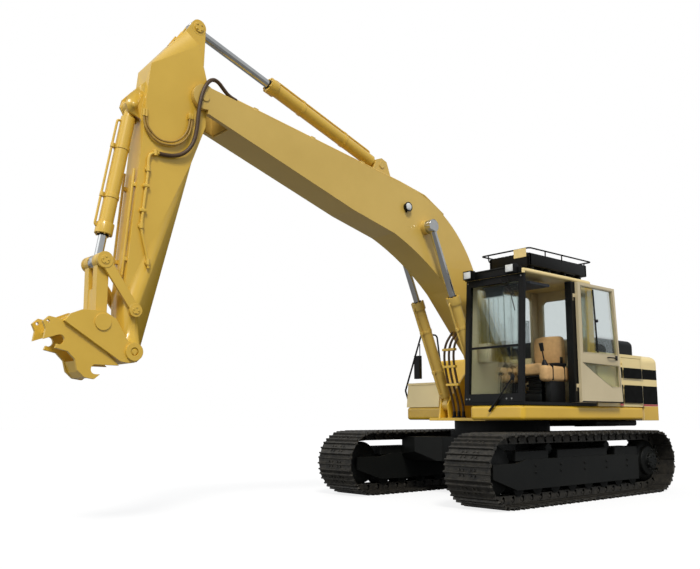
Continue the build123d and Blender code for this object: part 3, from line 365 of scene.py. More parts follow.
# %% [markdown]
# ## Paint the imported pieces
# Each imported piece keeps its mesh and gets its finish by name. The table reads like a paint plan: one row
# for each finish, with the pieces that wear it.

# %% Paint plan
paint_plan = (
    (boom_yellow, "boom boom_pipes boom_lamp boom_barrel_left boom_barrel_right"),
    (arm_yellow, "stick stick_pipes stick_barrel bucket_barrel idler_links power_link coupler"),
    (deck_yellow, "main_frame decks tanks"),
    (cream, "counterweight engine_housing radiator_door pump_door toolbox toolbox_lid"),
    (cream, "cab_roof"),
    (door_cream, "cab_left_wall cab_right_wall cab_rear_wall cab_door"),
    (black_enamel, "cab_front_frame cab_floor roof_guard handrail mirror exhaust engine_hood work_lamps"),
    (chassis_enamel, "carbody track_frames idlers sprockets track_rollers carrier_rollers"),
    (chassis_enamel, "swing_bearing engine"),
    (chrome, "boom_rod_left boom_rod_right stick_rod bucket_rod"),
    (pane, "cab_glass cab_door_glass"),
    (grey_cloth, "seat"),
    (beige_plastic, "consoles"),
    (shoe_steel, "track_left track_right"),
)
for finish, names in paint_plan:
    for name in names.split():
        materials = nodes[name].data.materials
        materials.clear()
        materials.append(finish)
bare = [name for name, piece in nodes.items() if not any(name in names.split() for _, names in paint_plan)]
print("pieces with no finish:", bare)

# %% [markdown]
# ## Making pieces
# Small helpers keep the cells below short. A piece is built in a bmesh whose places are measured from the
# swing axis, and it is shifted when it is finished. The object itself stands at the origin with its place in
# its mesh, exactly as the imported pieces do.

# %% Piece helpers
def to_mesh(name, bm, material):
    """A mesh with one finish from a bmesh, which is used up."""
    mesh = bpy.data.meshes.new(name)
    bm.to_mesh(mesh)
    bm.free()
    mesh.materials.append(material)
    return mesh


def smooth_rounds(mesh, angle):
    """Smooth shading, with a crease where faces meet at more than the angle."""
    mesh.shade_smooth()
    mesh.set_sharp_from_angle(angle=math.radians(angle))


def finished(name, mesh, slot, body, replaces=None):
    """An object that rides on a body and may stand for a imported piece."""
    made = new_object(name, mesh)
    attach(made, body)
    if replaces:
        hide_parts(replaces)
    print(name, len(mesh.polygons), "faces")
    return made


def piece(name, bm, material, slot, body="upperstructure", smooth=None, replaces=None):
    """A finished object from a bmesh whose places are measured from the swing axis."""
    bmesh.ops.recalc_face_normals(bm, faces=bm.faces[:])
    bmesh.ops.translate(bm, vec=at(0, 0, 0), verts=bm.verts)
    mesh = to_mesh(name, bm, material)
    if smooth is not None:
        smooth_rounds(mesh, smooth)
    return finished(name, mesh, slot, body, replaces)


def joined(target, part, matrix):
    """A part's faces copied into the target bmesh, moved by a matrix."""
    mesh = bpy.data.meshes.new("part")
    part.to_mesh(mesh)
    mesh.transform(matrix)
    target.from_mesh(mesh)
    bpy.data.meshes.remove(mesh)


def add_box(bm, low, high, bevel=0.0, segments=2):
    """A box between two corners, with rounded edges if bevel is given."""
    made = bmesh.ops.create_cube(bm, size=1)["verts"]
    low, high = Vector(low), Vector(high)
    bmesh.ops.scale(bm, vec=high - low, verts=made)
    bmesh.ops.translate(bm, vec=(low + high) / 2, verts=made)
    if bevel:
        edges = list({edge for vert in made for edge in vert.link_edges})
        bmesh.ops.bevel(
            bm, geom=edges, offset=bevel, segments=segments, profile=0.5, affect="EDGES", material=-1
        )


def add_bar(bm, start, end, radius, sides=12, taper=None):
    """A round bar, or a cone with its own end radius, between two points."""
    start, end = Vector(start), Vector(end)
    way = end - start
    matrix = Matrix.Translation((start + end) / 2) @ way.to_track_quat("Z", "Y").to_matrix().to_4x4()
    bmesh.ops.create_cone(
        bm, cap_ends=True, segments=sides, radius1=radius, radius2=radius if taper is None else taper,
        depth=way.length, matrix=matrix,
    )


def push_out(bm, faces, shift):
    """Thickness for flat faces, along a vector."""
    pushed = bmesh.ops.extrude_face_region(bm, geom=faces)["geom"]
    verts = [item for item in pushed if isinstance(item, bmesh.types.BMVert)]
    bmesh.ops.translate(bm, vec=shift, verts=verts)


def add_slab(bm, corners, shift):
    """A flat outline pushed out into a slab by a vector."""
    push_out(bm, [bm.faces.new([bm.verts.new(corner) for corner in corners])], shift)


def side_corners(points, y):
    """Corners from points in the XZ plane, at one y."""
    return [(x, y, z) for x, z in points]

# %% [markdown]
# ## Hoses
# A hydraulic hose is a stiff rubber tube that bends in one slow curve between its two steel ends. Each one
# starts as a smooth line led by a few chosen points, and the line's own tube is the hose.

# %% Hose maker
WELD = 0.0001           # metres


def smooth_line(name, points, radius, rounds):
    """A smooth tube led by control points. It has end caps, unless it ends where it starts."""
    curve = bpy.data.curves.new(name, "CURVE")
    curve.dimensions = "3D"
    curve.resolution_u = 10
    spline = curve.splines.new("NURBS")
    spline.points.add(len(points) - 1)
    for knot, place in zip(spline.points, points):
        knot.co = (*place, 1)
    spline.order_u = 3
    spline.use_endpoint_u = True
    curve.bevel_resolution = rounds
    curve.use_fill_caps = points[0] != points[-1]
    curve.bevel_depth = radius
    return new_object(name, curve)


def mesh_from(line):
    """The mesh that a line shows now."""
    bpy.context.view_layer.update()
    return bpy.data.meshes.new_from_object(line)


def add_tube(bm, line):
    """A line's own tube, with its ends welded shut. The line is used up."""
    before = set(bm.verts)
    mesh = mesh_from(line)
    bm.from_mesh(mesh)
    bpy.data.meshes.remove(mesh)
    bpy.data.objects.remove(line)
    made = [vert for vert in bm.verts if vert not in before]
    bmesh.ops.remove_doubles(bm, verts=made, dist=WELD)


def hose(name, points, radius, length, material):
    """A hose along a route measured from the swing axis."""
    line = smooth_line(name + "_line", [at(*point) for point in points], 0, 3)
    centre = mesh_from(line)
    path = [vert.co.copy() for vert in centre.vertices]
    bpy.data.meshes.remove(centre)
    line.data.bevel_depth = radius
    bm = bmesh.new()
    add_tube(bm, line)
    bmesh.ops.recalc_face_normals(bm, faces=bm.faces[:])
    mesh = to_mesh(name, bm, material)
    smooth_rounds(mesh, 40)
    made = new_object(name, mesh)
    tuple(path[0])
    run = sum((b - a).length for a, b in zip(path, path[1:]))
    print(name, round(run, 3), "m on the line,", length, "m of hose")
    return made


# %% Hoses at the boom's foot
FOOT_ROUTE = (          # x and z
    (0.900, 1.1103), (0.900, 1.210), (0.938, 1.340), (0.990, 1.470), (1.034, 1.600), (1.072, 1.735),
    (1.094, 1.870), (1.090, 2.000), (1.052, 2.115), (0.982, 2.205), (0.905, 2.285),
)
FOOT_HOSES = (("left", 0.040), ("middle", -0.045), ("right", -0.130))
FOOT_RADIUS = 0.017
FOOT_LENGTH = 1.27

for side, y in FOOT_HOSES:
    made = hose(f"foot_tube_{side}", side_corners(FOOT_ROUTE, y), FOOT_RADIUS, FOOT_LENGTH, brown_rubber)
    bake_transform(made)

# %% Straps round the foot hoses
STRAP_Y = (-0.158, 0.068)

for number, (x, z) in enumerate(((1.013, 1.530), (1.076, 1.780), (1.083, 2.020))):
    bm = bmesh.new()
    add_box(bm, (x - 0.028, STRAP_Y[0], z - 0.017), (x + 0.028, STRAP_Y[1], z + 0.017), 0.005)
    strap = piece(f"foot_strap_{number + 1}", bm, deck_yellow, "machine_yellow")
    strap.parent = None
    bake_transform(strap)

# %% Hoses at the boom's nose
NOSE_ROUTE = (
    (4.812, 0.150, 4.586), (4.900, 0.151, 4.604), (4.985, 0.160, 4.664), (5.070, 0.182, 4.722),
    (5.158, 0.202, 4.718), (5.232, 0.220, 4.642), (5.288, 0.229, 4.516), (5.318, 0.230, 4.376),
    (5.332, 0.229, 4.230), (5.340, 0.226, 4.086), (5.366, 0.219, 3.948), (5.428, 0.204, 3.836),
    (5.526, 0.189, 3.768), (5.640, 0.178, 3.744), (5.735, 0.178, 3.744),
)
THIN_ROUTES = {
    "inner": (
        (5.400, 0.176, 4.250), (5.400, 0.176, 4.160), (5.424, 0.181, 4.070), (5.474, 0.184, 3.985),
        (5.548, 0.185, 3.920), (5.640, 0.184, 3.888), (5.745, 0.181, 3.890), (5.832, 0.176, 3.950),
        (5.888, 0.168, 4.045), (5.888, 0.168, 4.150),
    ),
    "outer": (
        (5.372, 0.176, 4.250), (5.372, 0.176, 4.155), (5.397, 0.181, 4.055), (5.448, 0.184, 3.962),
        (5.530, 0.185, 3.890), (5.632, 0.184, 3.858), (5.758, 0.181, 3.860), (5.858, 0.176, 3.930),
        (5.918, 0.168, 4.040), (5.918, 0.168, 4.150),
    ),
}

THIN_LENGTH = {"inner": 0.894, "outer": 0.993}
NOSE_RADIUS = 0.022
NOSE_LENGTH = 1.70
THIN_RADIUS = 0.011

made = hose("nose_tube", NOSE_ROUTE, NOSE_RADIUS, NOSE_LENGTH, brown_rubber)
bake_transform(made)
for name, route in THIN_ROUTES.items():
    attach(hose(f"thin_tube_{name}", route, THIN_RADIUS, THIN_LENGTH[name], dusty_rubber), "stick")

# %% [markdown]
# ## Round steel
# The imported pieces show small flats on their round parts. Rods, barrels, pipes and rails are turned or drawn
# steel, so a merged copy of each gets smooth shading, with a crease only at real edges, and stands for it.

# %% Smooth copies
MERGE = 0.00002         # metres between corners that are one
CREASE = 34             # degrees

bodies = frame["record"]["behaviour"]["bodies"]
body_of = {name: body for body, names in bodies.items() for name in names}


def merged_copy(name):
    """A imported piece's mesh with its loose triangles joined."""
    bm = bmesh.new()
    bm.from_mesh(nodes[name].data)
    bmesh.ops.remove_doubles(bm, verts=bm.verts, dist=MERGE)
    return bm


def smooth_copy(name, slot):
    """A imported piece's own form with smooth rounds."""
    mesh = to_mesh(name + "_smooth", merged_copy(name), nodes[name].data.materials[0])
    smooth_rounds(mesh, CREASE)
    made = finished(name + "_smooth", mesh, slot, body_of[name], name)
    made.modifiers.new("normals", "WEIGHTED_NORMAL").keep_sharp = True


ROUND_PIECES = {
    "machine_yellow": (
        "boom_barrel_left boom_barrel_right boom_pipes stick_barrel bucket_barrel stick_pipes power_link"
    ),
    "rod_chrome": "boom_rod_left boom_rod_right stick_rod bucket_rod",
    "machine_cream": "engine_housing radiator_door pump_door cab_door cab_roof toolbox toolbox_lid",
    "chassis_black": (
        "handrail mirror exhaust engine_hood idlers sprockets track_rollers carrier_rollers swing_bearing"
    ),
}
for slot, names in ROUND_PIECES.items():
    for name in names.split():
        smooth_copy(name, slot)
print("smooth copies:", sum(len(names.split()) for names in ROUND_PIECES.values()))

# %% [markdown]
# ## Track chains
# A track is a chain of forged links with one steel shoe bolted on each. The shoe is a rolled plate with
# three bars, or grousers, across it. The imported loop stays, hidden, and this chain with its separate
# shoes, links, pins and bolts stands for it. The imported loop keeps the outline for collision, and this
# chain with its separate shoes, links, pins and bolts stands for it.

# %% Track sizes
TRACK_GAUGE = 2.38
SHOE_COUNT = 49
PITCH_RADIUS = 0.36
LINK_OUT = 0.045
LINK_IN = 0.055
SHOE_PLATE = 0.014
GROUSER = 0.026
SHOE_WIDTH = 0.70
BAR_FOOT = 0.030        # a grouser's width at the plate
BAR_SLOPE = 0.008
CORNER_CUT = 0.016
SHOE_BOLTS_X = (0.062, 0.128)
SHOE_BOLTS_Y = (-0.115, -0.055, 0.055, 0.115)
TRACK_FRONT = 2.26
TRACK_REAR = -2.19

TIP_RADIUS = PITCH_RADIUS + LINK_OUT + SHOE_PLATE + GROUSER
idler_x = TRACK_FRONT - TIP_RADIUS
sprocket_x = TRACK_REAR + TIP_RADIUS
loop_length = 2 * (idler_x - sprocket_x) + 2 * math.pi * PITCH_RADIUS
pitch = loop_length / SHOE_COUNT


def loop_pin(travel):
    """A link pin's place on the pitch line, in the track's own plane."""
    run = idler_x - sprocket_x
    turn = math.pi * PITCH_RADIUS
    travel %= loop_length
    if travel < run:
        return sprocket_x + travel, TIP_RADIUS - PITCH_RADIUS
    travel -= run
    if travel < turn:
        angle = travel / PITCH_RADIUS - math.pi / 2
        return idler_x + PITCH_RADIUS * math.cos(angle), TIP_RADIUS + PITCH_RADIUS * math.sin(angle)
    travel -= turn
    if travel < run:
        return idler_x - travel, TIP_RADIUS + PITCH_RADIUS
    angle = (travel - run) / PITCH_RADIUS + math.pi / 2
    return sprocket_x + PITCH_RADIUS * math.cos(angle), TIP_RADIUS + PITCH_RADIUS * math.sin(angle)


print("pitch", round(pitch, 4), "m")

# %% One shoe with its link
def shoe():
    """A shoe at the origin: X runs along the chain, Z out of it."""
    bm = bmesh.new()
    half = SHOE_WIDTH / 2
    plate = LINK_OUT + SHOE_PLATE
    profile = [(-0.004, LINK_OUT)]
    for start in (0.0, (pitch - BAR_FOOT) / 2, pitch - BAR_FOOT):
        profile += [(start, plate), (start + BAR_SLOPE, plate + GROUSER)]
        profile += [(start + BAR_FOOT - BAR_SLOPE, plate + GROUSER), (start + BAR_FOOT, plate)]
    profile += [(pitch - 0.006, LINK_OUT)]
    add_slab(bm, side_corners(profile, -half), (0, SHOE_WIDTH, 0))
    # A lip under the next shoe closes the slit between them
    lip = half - 0.002
    add_box(bm, (pitch - 0.020, -lip, LINK_OUT - 0.009), (pitch + 0.021, lip, LINK_OUT + 0.001))
    for vert in bm.verts:
        if abs(vert.co.y) > half - 0.001 and not BAR_FOOT <= vert.co.x <= pitch - BAR_FOOT:
            vert.co.y -= math.copysign(CORNER_CUT, vert.co.y)
    for y in SHOE_BOLTS_Y:
        for x in SHOE_BOLTS_X:
            add_bar(bm, (x, y, plate - 0.002), (x, y, plate + 0.014), 0.013, 6)
    return bm


def link():
    """The pair of link plates of one pitch, with the bush and pin between them."""
    bm = bmesh.new()
    for side in (-1, 1):
        outline = [
            (-0.045, -0.03), (-0.02, -LINK_IN), (pitch - 0.03, -LINK_IN), (pitch, -0.035),
            (pitch + 0.03, 0.0), (pitch - 0.02, LINK_OUT - 0.002), (0.0, LINK_OUT - 0.002), (-0.045, 0.01),
        ]
        add_slab(bm, side_corners(outline, side * 0.078), (0, side * 0.022, 0))
    add_bar(bm, (0, -0.104, 0), (0, 0.104, 0), 0.022, 12)
    return bm


parts = (shoe(), link())
print("faces of a shoe and a link:", [len(part.faces) for part in parts])

# %% Two chains
for track_name, side in (("left", 1), ("right", -1)):
    chain = bmesh.new()
    pins = [loop_pin(i * pitch) for i in range(SHOE_COUNT)]
    for (x, z), (next_x, next_z) in zip(pins, pins[1:] + pins[:1]):
        angle = math.atan2(next_z - z, next_x - x)
        turn = Matrix.Rotation(-angle, 4, "Y") @ Matrix.Rotation(math.pi, 4, "X")
        place = Matrix.Translation(Vector((x, side * TRACK_GAUGE / 2, z))) @ turn
        for part in parts:
            joined(chain, part, place)
    piece(
        f"track_chain_{track_name}", chain, shoe_steel, "track_steel", "undercarriage",
        replaces=f"track_{track_name}",
    )
for part in parts:
    part.free()

# %% [markdown]
# ## Trim helpers
# Seals, handles and bolts repeat all over the machine. A seal is a flat outline with its middle cut out, a
# handle is a bent bar, and a bolt is a six-sided head on a round washer.

# %% Seal, bent bar and bolt
def add_seal(bm, corners, width, shift):
    """A frame inside an outline, pushed out by a vector."""
    face = bm.faces.new([bm.verts.new(corner) for corner in corners])
    rim = bmesh.ops.inset_individual(bm, faces=[face], thickness=width)["faces"]
    bmesh.ops.delete(bm, geom=[face], context="FACES_ONLY")
    push_out(bm, rim, shift)


def add_bent(bm, points, radius):
    """A round bar led by points, with rounded corners."""
    add_tube(bm, smooth_line("bent", points, radius, 2))


def add_bolt(bm, place, way, size=0.012):
    """A hexagon head on its washer, standing out along a vector."""
    place, way = Vector(place), Vector(way).normalized()
    add_bar(bm, place - way * 0.002, place + way * size * 0.25, size * 1.25, 14)
    add_bar(bm, place, place + way * size, size * 0.95, 6)


def add_ring(bm, start, end, inner, outer, sides=40):
    """A flat-sided ring round the line from start to end."""
    start, end = Vector(start), Vector(end)
    way = (end - start).normalized()
    out = way.orthogonal().normalized()
    corners = [start + out * inner, start + out * outer, end + out * outer, end + out * inner]
    verts = [bm.verts.new(corner) for corner in corners]
    edges = [bm.edges.new(pair) for pair in zip(verts, verts[1:] + verts[:1])]
    turn = 2 * math.pi
    bmesh.ops.spin(bm, geom=verts + edges, cent=start, axis=way, angle=turn, steps=sides, use_merge=True)


def ring_of_bolts(bm, centre, way, radius, count, size=0.012, start=0.0):
    """Bolts evenly round a centre, all along one vector."""
    centre, way = Vector(centre), Vector(way).normalized()
    across = way.orthogonal().normalized()
    for i in range(count):
        arm = Matrix.Rotation(start + 2 * math.pi * i / count, 3, way) @ across
        add_bolt(bm, centre + arm * radius, way, size)


# %% [markdown]
# ## Stick head and links
# The stick's top ends in two rounded ears that carry the cylinder's pin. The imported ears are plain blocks, so
# a copy of the stick is cut along its top edge and gets turned ears in the same place. The bucket links are
# flat bars between round bosses, with a bolted collar on each pin.

# %% Stick with rounded ears
STICK_EYE = (5.270, 5.330)
EAR_LOW = 0.0585
EAR_HIGH = 0.0845
EAR_RADIUS = 0.088

CUT_POINT = (5.300, 0, 5.078)
CUT_NORMAL = (-0.6, 0, 0.8)
SMALL_FACE = 0.003      # square metres; larger faces stay flat

bm = merged_copy("stick")
bmesh.ops.translate(bm, vec=-at(0, 0, 0), verts=bm.verts)
cut = bmesh.ops.bisect_plane(
    bm, geom=bm.verts[:] + bm.edges[:] + bm.faces[:], plane_co=CUT_POINT, plane_no=CUT_NORMAL,
    clear_outer=True,
)
rim = [item for item in cut["geom_cut"] if isinstance(item, bmesh.types.BMEdge)]
bmesh.ops.holes_fill(bm, edges=rim, sides=0)
packed = set(bm.faces)
x, z = STICK_EYE
ear = ((x - 0.086, z + 0.012), (5.196, 4.900), (5.330, 4.960), (5.500, 5.120), (x + 0.070, z + 0.052))
for side in (-1, 1):
    low, high = side * EAR_LOW, side * EAR_HIGH
    add_bar(bm, (x, low, z), (x, high, z), EAR_RADIUS, 40)
    add_slab(bm, side_corners(ear, low + side * 0.001), (0, high - low - side * 0.002, 0))
    add_bar(bm, (x, high - side * 0.002, z), (x, high + side * 0.012, z), 0.058, 28)
    ring_of_bolts(bm, (x, high + side * 0.012, z), (0, side, 0), 0.038, 4, 0.009)
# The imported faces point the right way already, those of the hollow inside too
bmesh.ops.recalc_face_normals(bm, faces=[face for face in bm.faces if face not in packed])
bmesh.ops.translate(bm, vec=at(0, 0, 0), verts=bm.verts)
mesh = to_mesh("stick_body", bm, arm_yellow)
for face in mesh.polygons:
    face.use_smooth = face.area < SMALL_FACE
mesh.set_sharp_from_angle(angle=math.radians(30))
finished("stick_body", mesh, "machine_yellow", "stick", "stick")

# %% Idler links
IDLER_PIN = (5.928, 2.104)
LINK_PIN = (6.260, 2.565)

LINK_INSIDE = 0.162
LINK_OUTSIDE = 0.198

bm = bmesh.new()
start, end = Vector(IDLER_PIN), Vector(LINK_PIN)
way = (end - start).normalized()
across = Vector((-way.y, way.x))
neck = (start + across * 0.044, end + across * 0.050, end - across * 0.050, start - across * 0.044)
for side in (-1, 1):
    low, high = side * LINK_INSIDE, side * LINK_OUTSIDE
    for (x, z), boss in ((start, 0.066), (end, 0.080)):
        add_bar(bm, (x, low, z), (x, high, z), boss, 32)
    add_slab(bm, side_corners(neck, low + side * 0.002), (0, high - low - side * 0.006, 0))
    for (x, z), collar in ((start, 0.040), (end, 0.044)):
        add_bar(bm, (x, high - side * 0.002, z), (x, high + side * 0.006, z), collar, 24)
        ring_of_bolts(bm, (x, high + side * 0.004, z), (0, side, 0), 0.026, 4, 0.007, 0.6)
add_bar(bm, (end.x, -LINK_INSIDE, end.y), (end.x, LINK_INSIDE, end.y), 0.037, 28)
piece(
    "idler_bars", bm, arm_yellow, "machine_yellow", "idler_links", smooth=CREASE, replaces="idler_links",
)

# %% Side pipe on the stick
SIDE_PIPE = (
    (5.735, 3.744), (5.800, 3.742), (5.846, 3.700), (5.848, 3.620), (5.848, 3.530), (5.872, 3.260),
    (5.898, 2.980), (5.892, 2.900), (5.850, 2.750), (5.812, 2.600), (5.806, 2.540),
)
PIPE_Y = 0.172
ON_STICK = 0.1503       # just off the stick's side

bm = bmesh.new()
add_bent(bm, side_corners(SIDE_PIPE, PIPE_Y), 0.015)
for x, z in ((5.775, 3.744), (5.848, 3.560), (5.896, 2.960), (5.812, 2.600)):
    add_bar(bm, (x, PIPE_Y, z - 0.028), (x, PIPE_Y, z + 0.028), 0.024, 6)
    add_box(bm, (x - 0.030, ON_STICK, z - 0.014), (x + 0.030, 0.168, z + 0.014), 0.003)
for x, z in ((5.862, 3.380), (5.885, 3.120)):
    add_box(bm, (x - 0.034, ON_STICK, z - 0.016), (x + 0.034, 0.190, z + 0.016), 0.005)
piece("stick_side_pipe", bm, arm_yellow, "machine_yellow", "stick", smooth=36)

# %% Hose ends
bm = bmesh.new()
for x, z in ((5.400, 4.225), (5.372, 4.225)):
    add_box(bm, (x - 0.016, ON_STICK, z - 0.020), (x + 0.016, 0.190, z + 0.045), 0.004)
for x, z in ((5.888, 4.135), (5.918, 4.135)):
    add_bar(bm, (x, 0.168, z - 0.030), (x, 0.168, z + 0.045), 0.017, 6)
piece("thin_hose_ends", bm, arm_yellow, "machine_yellow", "stick", smooth=36)
bm = bmesh.new()
for _, y in FOOT_HOSES:
    add_bar(bm, (0.905, y, 2.235), (0.900, y, 2.290), 0.024, 6)
piece("foot_hose_tops", bm, boom_yellow, "machine_yellow", "boom")
bm = bmesh.new()
for _, y in FOOT_HOSES:
    add_bar(bm, (0.900, y, 1.085), (0.900, y, 1.160), 0.024, 6)
    add_bar(bm, (0.900, y, 1.072), (0.900, y, 1.092), 0.032, 18)
piece("foot_hose_feet", bm, black_enamel, "chassis_black")

# %% [markdown]
# ## Underside and track frames
# Under the deck hang pressed covers that keep stones off the engine. Each track frame is filled up to just
# under the chain by dark boxes, which stand partly for the frame's full height and partly for painted shade
# between frame and chain, and its final drive has a ring of bolts round the cover.

# %% Covers, frame tops and painted shade fill
bm = bmesh.new()
add_box(bm, (-1.950, -1.080, 0.950), (-0.780, 1.080, 1.038), 0.030, 4)
for y in (-0.72, -0.24, 0.24, 0.72):
    add_box(bm, (-1.900, y - 0.030, 0.942), (-0.830, y + 0.030, 0.954), 0.004)
piece("belly_guards", bm, chassis_enamel, "chassis_black", smooth=35)

bm = bmesh.new()
for side in (1, -1):
    middle = side * TRACK_GAUGE / 2
    # Dark boxes under the chain: partly the frame's full height, partly painted shade between frame and chain
    for rear, front in ((-1.420, -0.800), (-0.600, 0.600), (0.800, 1.490)):
        add_box(bm, (rear, middle - 0.150, 0.540), (front, middle + 0.150, 0.664), 0.012)
    cover = (sprocket_x, side * 1.410, TIP_RADIUS)
    ring_of_bolts(bm, cover, (0, side, 0), 0.160, 12, 0.013)
    ring_of_bolts(bm, cover, (0, side, 0), 0.075, 6, 0.011)
    for x in (-1.10, -0.55, 0.0, 0.55, 1.10):
        for z in (0.400, 0.480):
            add_bolt(bm, (x, side * 1.355, z), (0, side, 0), 0.014)
piece("frame_tops_and_shade_fill", bm, chassis_enamel, "chassis_black", "undercarriage")

# %% [markdown]
# ## Stripes
# The side of the engine housing and the counterweight is banded in vinyl: a black band under the top, a
# deep black panel below and a thin red line under that. Each band is a thin film on the door, the housing and
# the counterweight, cut where they meet, so the door opens without tearing it.

# %% Bands on both sides
FILM = 0.0012
OFF_FACE = 0.0002
DOOR_FOOT = 1.284       # the doors' lower edge, where their bands end
HOUSING_SIDE = 1.392
WEIGHT_SIDE = 1.370
SIDE_BANDS = (
    # finish, lowest and highest height
    ("black", 1.640, 1.790),
    ("black", 1.270, 1.540),
    ("red", 1.242, 1.268),
)
BAND_RUNS = (
    # side, body, front and rear end, face
    (1, "upperstructure", -0.940, -1.030, HOUSING_SIDE),
    (1, "radiator_door", -1.062, -1.580, HOUSING_SIDE),
    (1, "upperstructure", -1.592, -1.637, HOUSING_SIDE),
    (1, "upperstructure", -1.643, -2.068, WEIGHT_SIDE),
    (-1, "upperstructure", -1.592, -1.637, HOUSING_SIDE),
    (-1, "pump_door", -0.960, -1.560, HOUSING_SIDE),
    (-1, "upperstructure", -1.643, -2.068, WEIGHT_SIDE),
)
film_black = plain(
    "film_black", (9, 9, 8), (13, 13, 12), 0.6, scale=4, relief=0.02, edge=0, gleam=0.06,
)
film_red = plain(
    "film_red", (172, 34, 40), (160, 30, 36), 0.32, scale=4, relief=0.02, edge=0, coat=0.4,
)


def add_film(bm, side, face, ends, heights, film=FILM):
    """A thin rectangle on a side face."""
    near, far = sorted((side * (face + OFF_FACE), side * (face + film)))
    add_box(bm, (ends[0], near, heights[0]), (ends[1], far, heights[1]))


for finish, film, slot in (("black", film_black, "chassis_black"), ("red", film_red, "cab_trim")):
    for body in ("upperstructure", "radiator_door", "pump_door"):
        bm = bmesh.new()
        for side, carrier, front, rear, face in BAND_RUNS:
            for colour, low, high in SIDE_BANDS:
                low = low if body == "upperstructure" else max(low, DOOR_FOOT)
                if carrier == body and colour == finish and high > low:
                    add_film(bm, side, face, (rear, front), (low, high))
        if bm.faces:
            piece(f"bands_{finish}_{body}", bm, film, slot, body)
        else:
            bm.free()

# %% Yellow skirt of the counterweight
bm = bmesh.new()
for side in (1, -1):
    add_film(bm, side, WEIGHT_SIDE, (-2.068, -1.643), (1.036, 1.236), 0.0015)
piece("weight_skirt", bm, deck_yellow, "machine_yellow")

# %% [markdown]
# ## Cab trim
# Every pane sits in a black rubber seal. The folded door shows its inner side: a seal round each window, the
# divider of the sliding pane, a handle, and a dark weather strip along its lower edge.

# %% Door seals
DOOR_FACE = 1.470
DOOR_UPPER = ((0.089, 1.950), (0.089, 2.850), (-0.698, 2.850), (-0.783, 1.950))
DOOR_LOWER = ((0.109, 1.805), (-0.788, 1.790), (-0.813, 1.500), (-0.593, 1.495), (-0.161, 1.680))

bm = bmesh.new()
for outline in (DOOR_UPPER, DOOR_LOWER):
    middle = Vector((sum(x for x, z in outline), sum(z for x, z in outline))) / len(outline)
    wider = [Vector(point) + (Vector(point) - middle).normalized() * 0.012 for point in outline]
    add_seal(bm, side_corners(wider, DOOR_FACE - 0.003), 0.034, (0, 0.007, 0))
add_box(bm, (-0.868, DOOR_FACE - 0.040, 1.2765), (0.165, DOOR_FACE + 0.004, 1.292))
divider = ((-0.300, 1.962), (-0.322, 1.962), (-0.262, 2.838), (-0.240, 2.838))
add_slab(bm, side_corners(divider, DOOR_FACE - 0.036), (0, 0.014, 0))
piece("door_seals", bm, rubber, "chassis_black", "cab_door")

# %% Door handle and latch
bm = bmesh.new()
grip = ((-0.690, 1.466), (-0.690, 1.500), (-0.680, 1.503), (-0.520, 1.503), (-0.510, 1.500), (-0.510, 1.466))
add_bent(bm, [(x, y, 1.90) for x, y in grip], 0.009)
add_box(bm, (-0.765, 1.4695, 1.870), (-0.712, 1.482, 1.935), 0.005)
add_bar(bm, (-0.300, 1.448, 2.400), (-0.300, 1.466, 2.400), 0.022, 18)
piece("door_handle", bm, black_plastic, "cab_trim", "cab_door", smooth=35)

# %% Rear corner paint and post cover
WALL_OFF = 1.3702       # just off the left wall's face

bm = bmesh.new()
add_box(bm, (-0.349, WALL_OFF, 1.90), (-0.170, 1.3722, 2.90))
piece("corner_paint", bm, deck_yellow, "machine_yellow")
bm = bmesh.new()
add_box(bm, (0.150, WALL_OFF, 1.272), (0.247, 1.4165, 2.902), 0.004)
add_box(bm, (0.2405, 1.318, 1.272), (0.247, 1.375, 2.902), 0.002)
piece("door_post_cover", bm, black_enamel, "chassis_black")

# %% Windscreen seal, divider and bolts
CAB_FLOOR = 1.270
CAB_ROOF = 2.905
FRONT_FOOT = 1.340
FRONT_LEAN = 0.100 / (CAB_ROOF - CAB_FLOOR)


def front_x(z):
    """The front face of the cab's frame at a height."""
    return FRONT_FOOT - FRONT_LEAN * (z - CAB_FLOOR)


bm = bmesh.new()
corners = ((0.500, 1.380), (1.280, 1.380), (1.280, 2.815), (0.500, 2.815))
add_seal(bm, [(front_x(z) - 0.002, y, z) for y, z in corners], 0.028, (0.006, 0, 0))
add_box(bm, (front_x(2.0) - 0.020, 0.505, 1.965), (front_x(2.0) - 0.004, 1.275, 1.995), 0.004)
piece("windscreen_seal", bm, rubber, "chassis_black")

bm = bmesh.new()
add_box(bm, (1.2705, 0.436, 2.900), (1.277, 1.364, 2.984), 0.003)
add_box(bm, (1.150, 0.440, 2.9802), (1.2765, 1.364, 2.986), 0.002)
add_bar(bm, (1.262, 0.500, 3.000), (1.262, 1.300, 3.000), 0.016, 12)
piece("roof_front", bm, black_enamel, "chassis_black", smooth=35)

bm = bmesh.new()
for y, z in ((0.47, 1.31), (0.52, 1.31), (1.12, 1.31), (1.20, 1.31), (0.46, 2.87), (1.33, 2.87)):
    add_bolt(bm, (front_x(z), y, z), (1, 0, 0.06), 0.009)
piece("frame_bolts", bm, bare_bolt, "rod_chrome")

# %% Wipers
bm = bmesh.new()
add_bar(bm, (1.352, 1.225, 1.560), (1.362, 1.255, 1.585), 0.022, 14)
add_bar(bm, (1.366, 1.240, 1.572), (1.372, 0.900, 1.190), 0.009, 10)
add_box(bm, (1.352, 1.215, 1.535), (1.374, 1.262, 1.610), 0.006)
add_bar(bm, (1.362, 1.000, 1.300), (1.366, 0.860, 1.150), 0.016, 8)
for shift in (0.0, 0.045):
    add_bar(bm, (1.282, 1.020 + shift, 2.860), (1.300, 1.250 + shift * 0.6, 2.600), 0.005, 8)
add_bar(bm, (1.270, 1.130, 2.870), (1.320, 1.275, 2.420), 0.006, 8)
piece("wipers", bm, black_plastic, "cab_trim", smooth=35)

# %% Right window bars
BARS_Y = 0.4385

bm = bmesh.new()
for x in (0.10, 0.44, 0.78):
    add_bar(bm, (x, BARS_Y, 1.86), (x, BARS_Y, 2.80), 0.007, 8)
piece("right_guard", bm, black_enamel, "chassis_black")

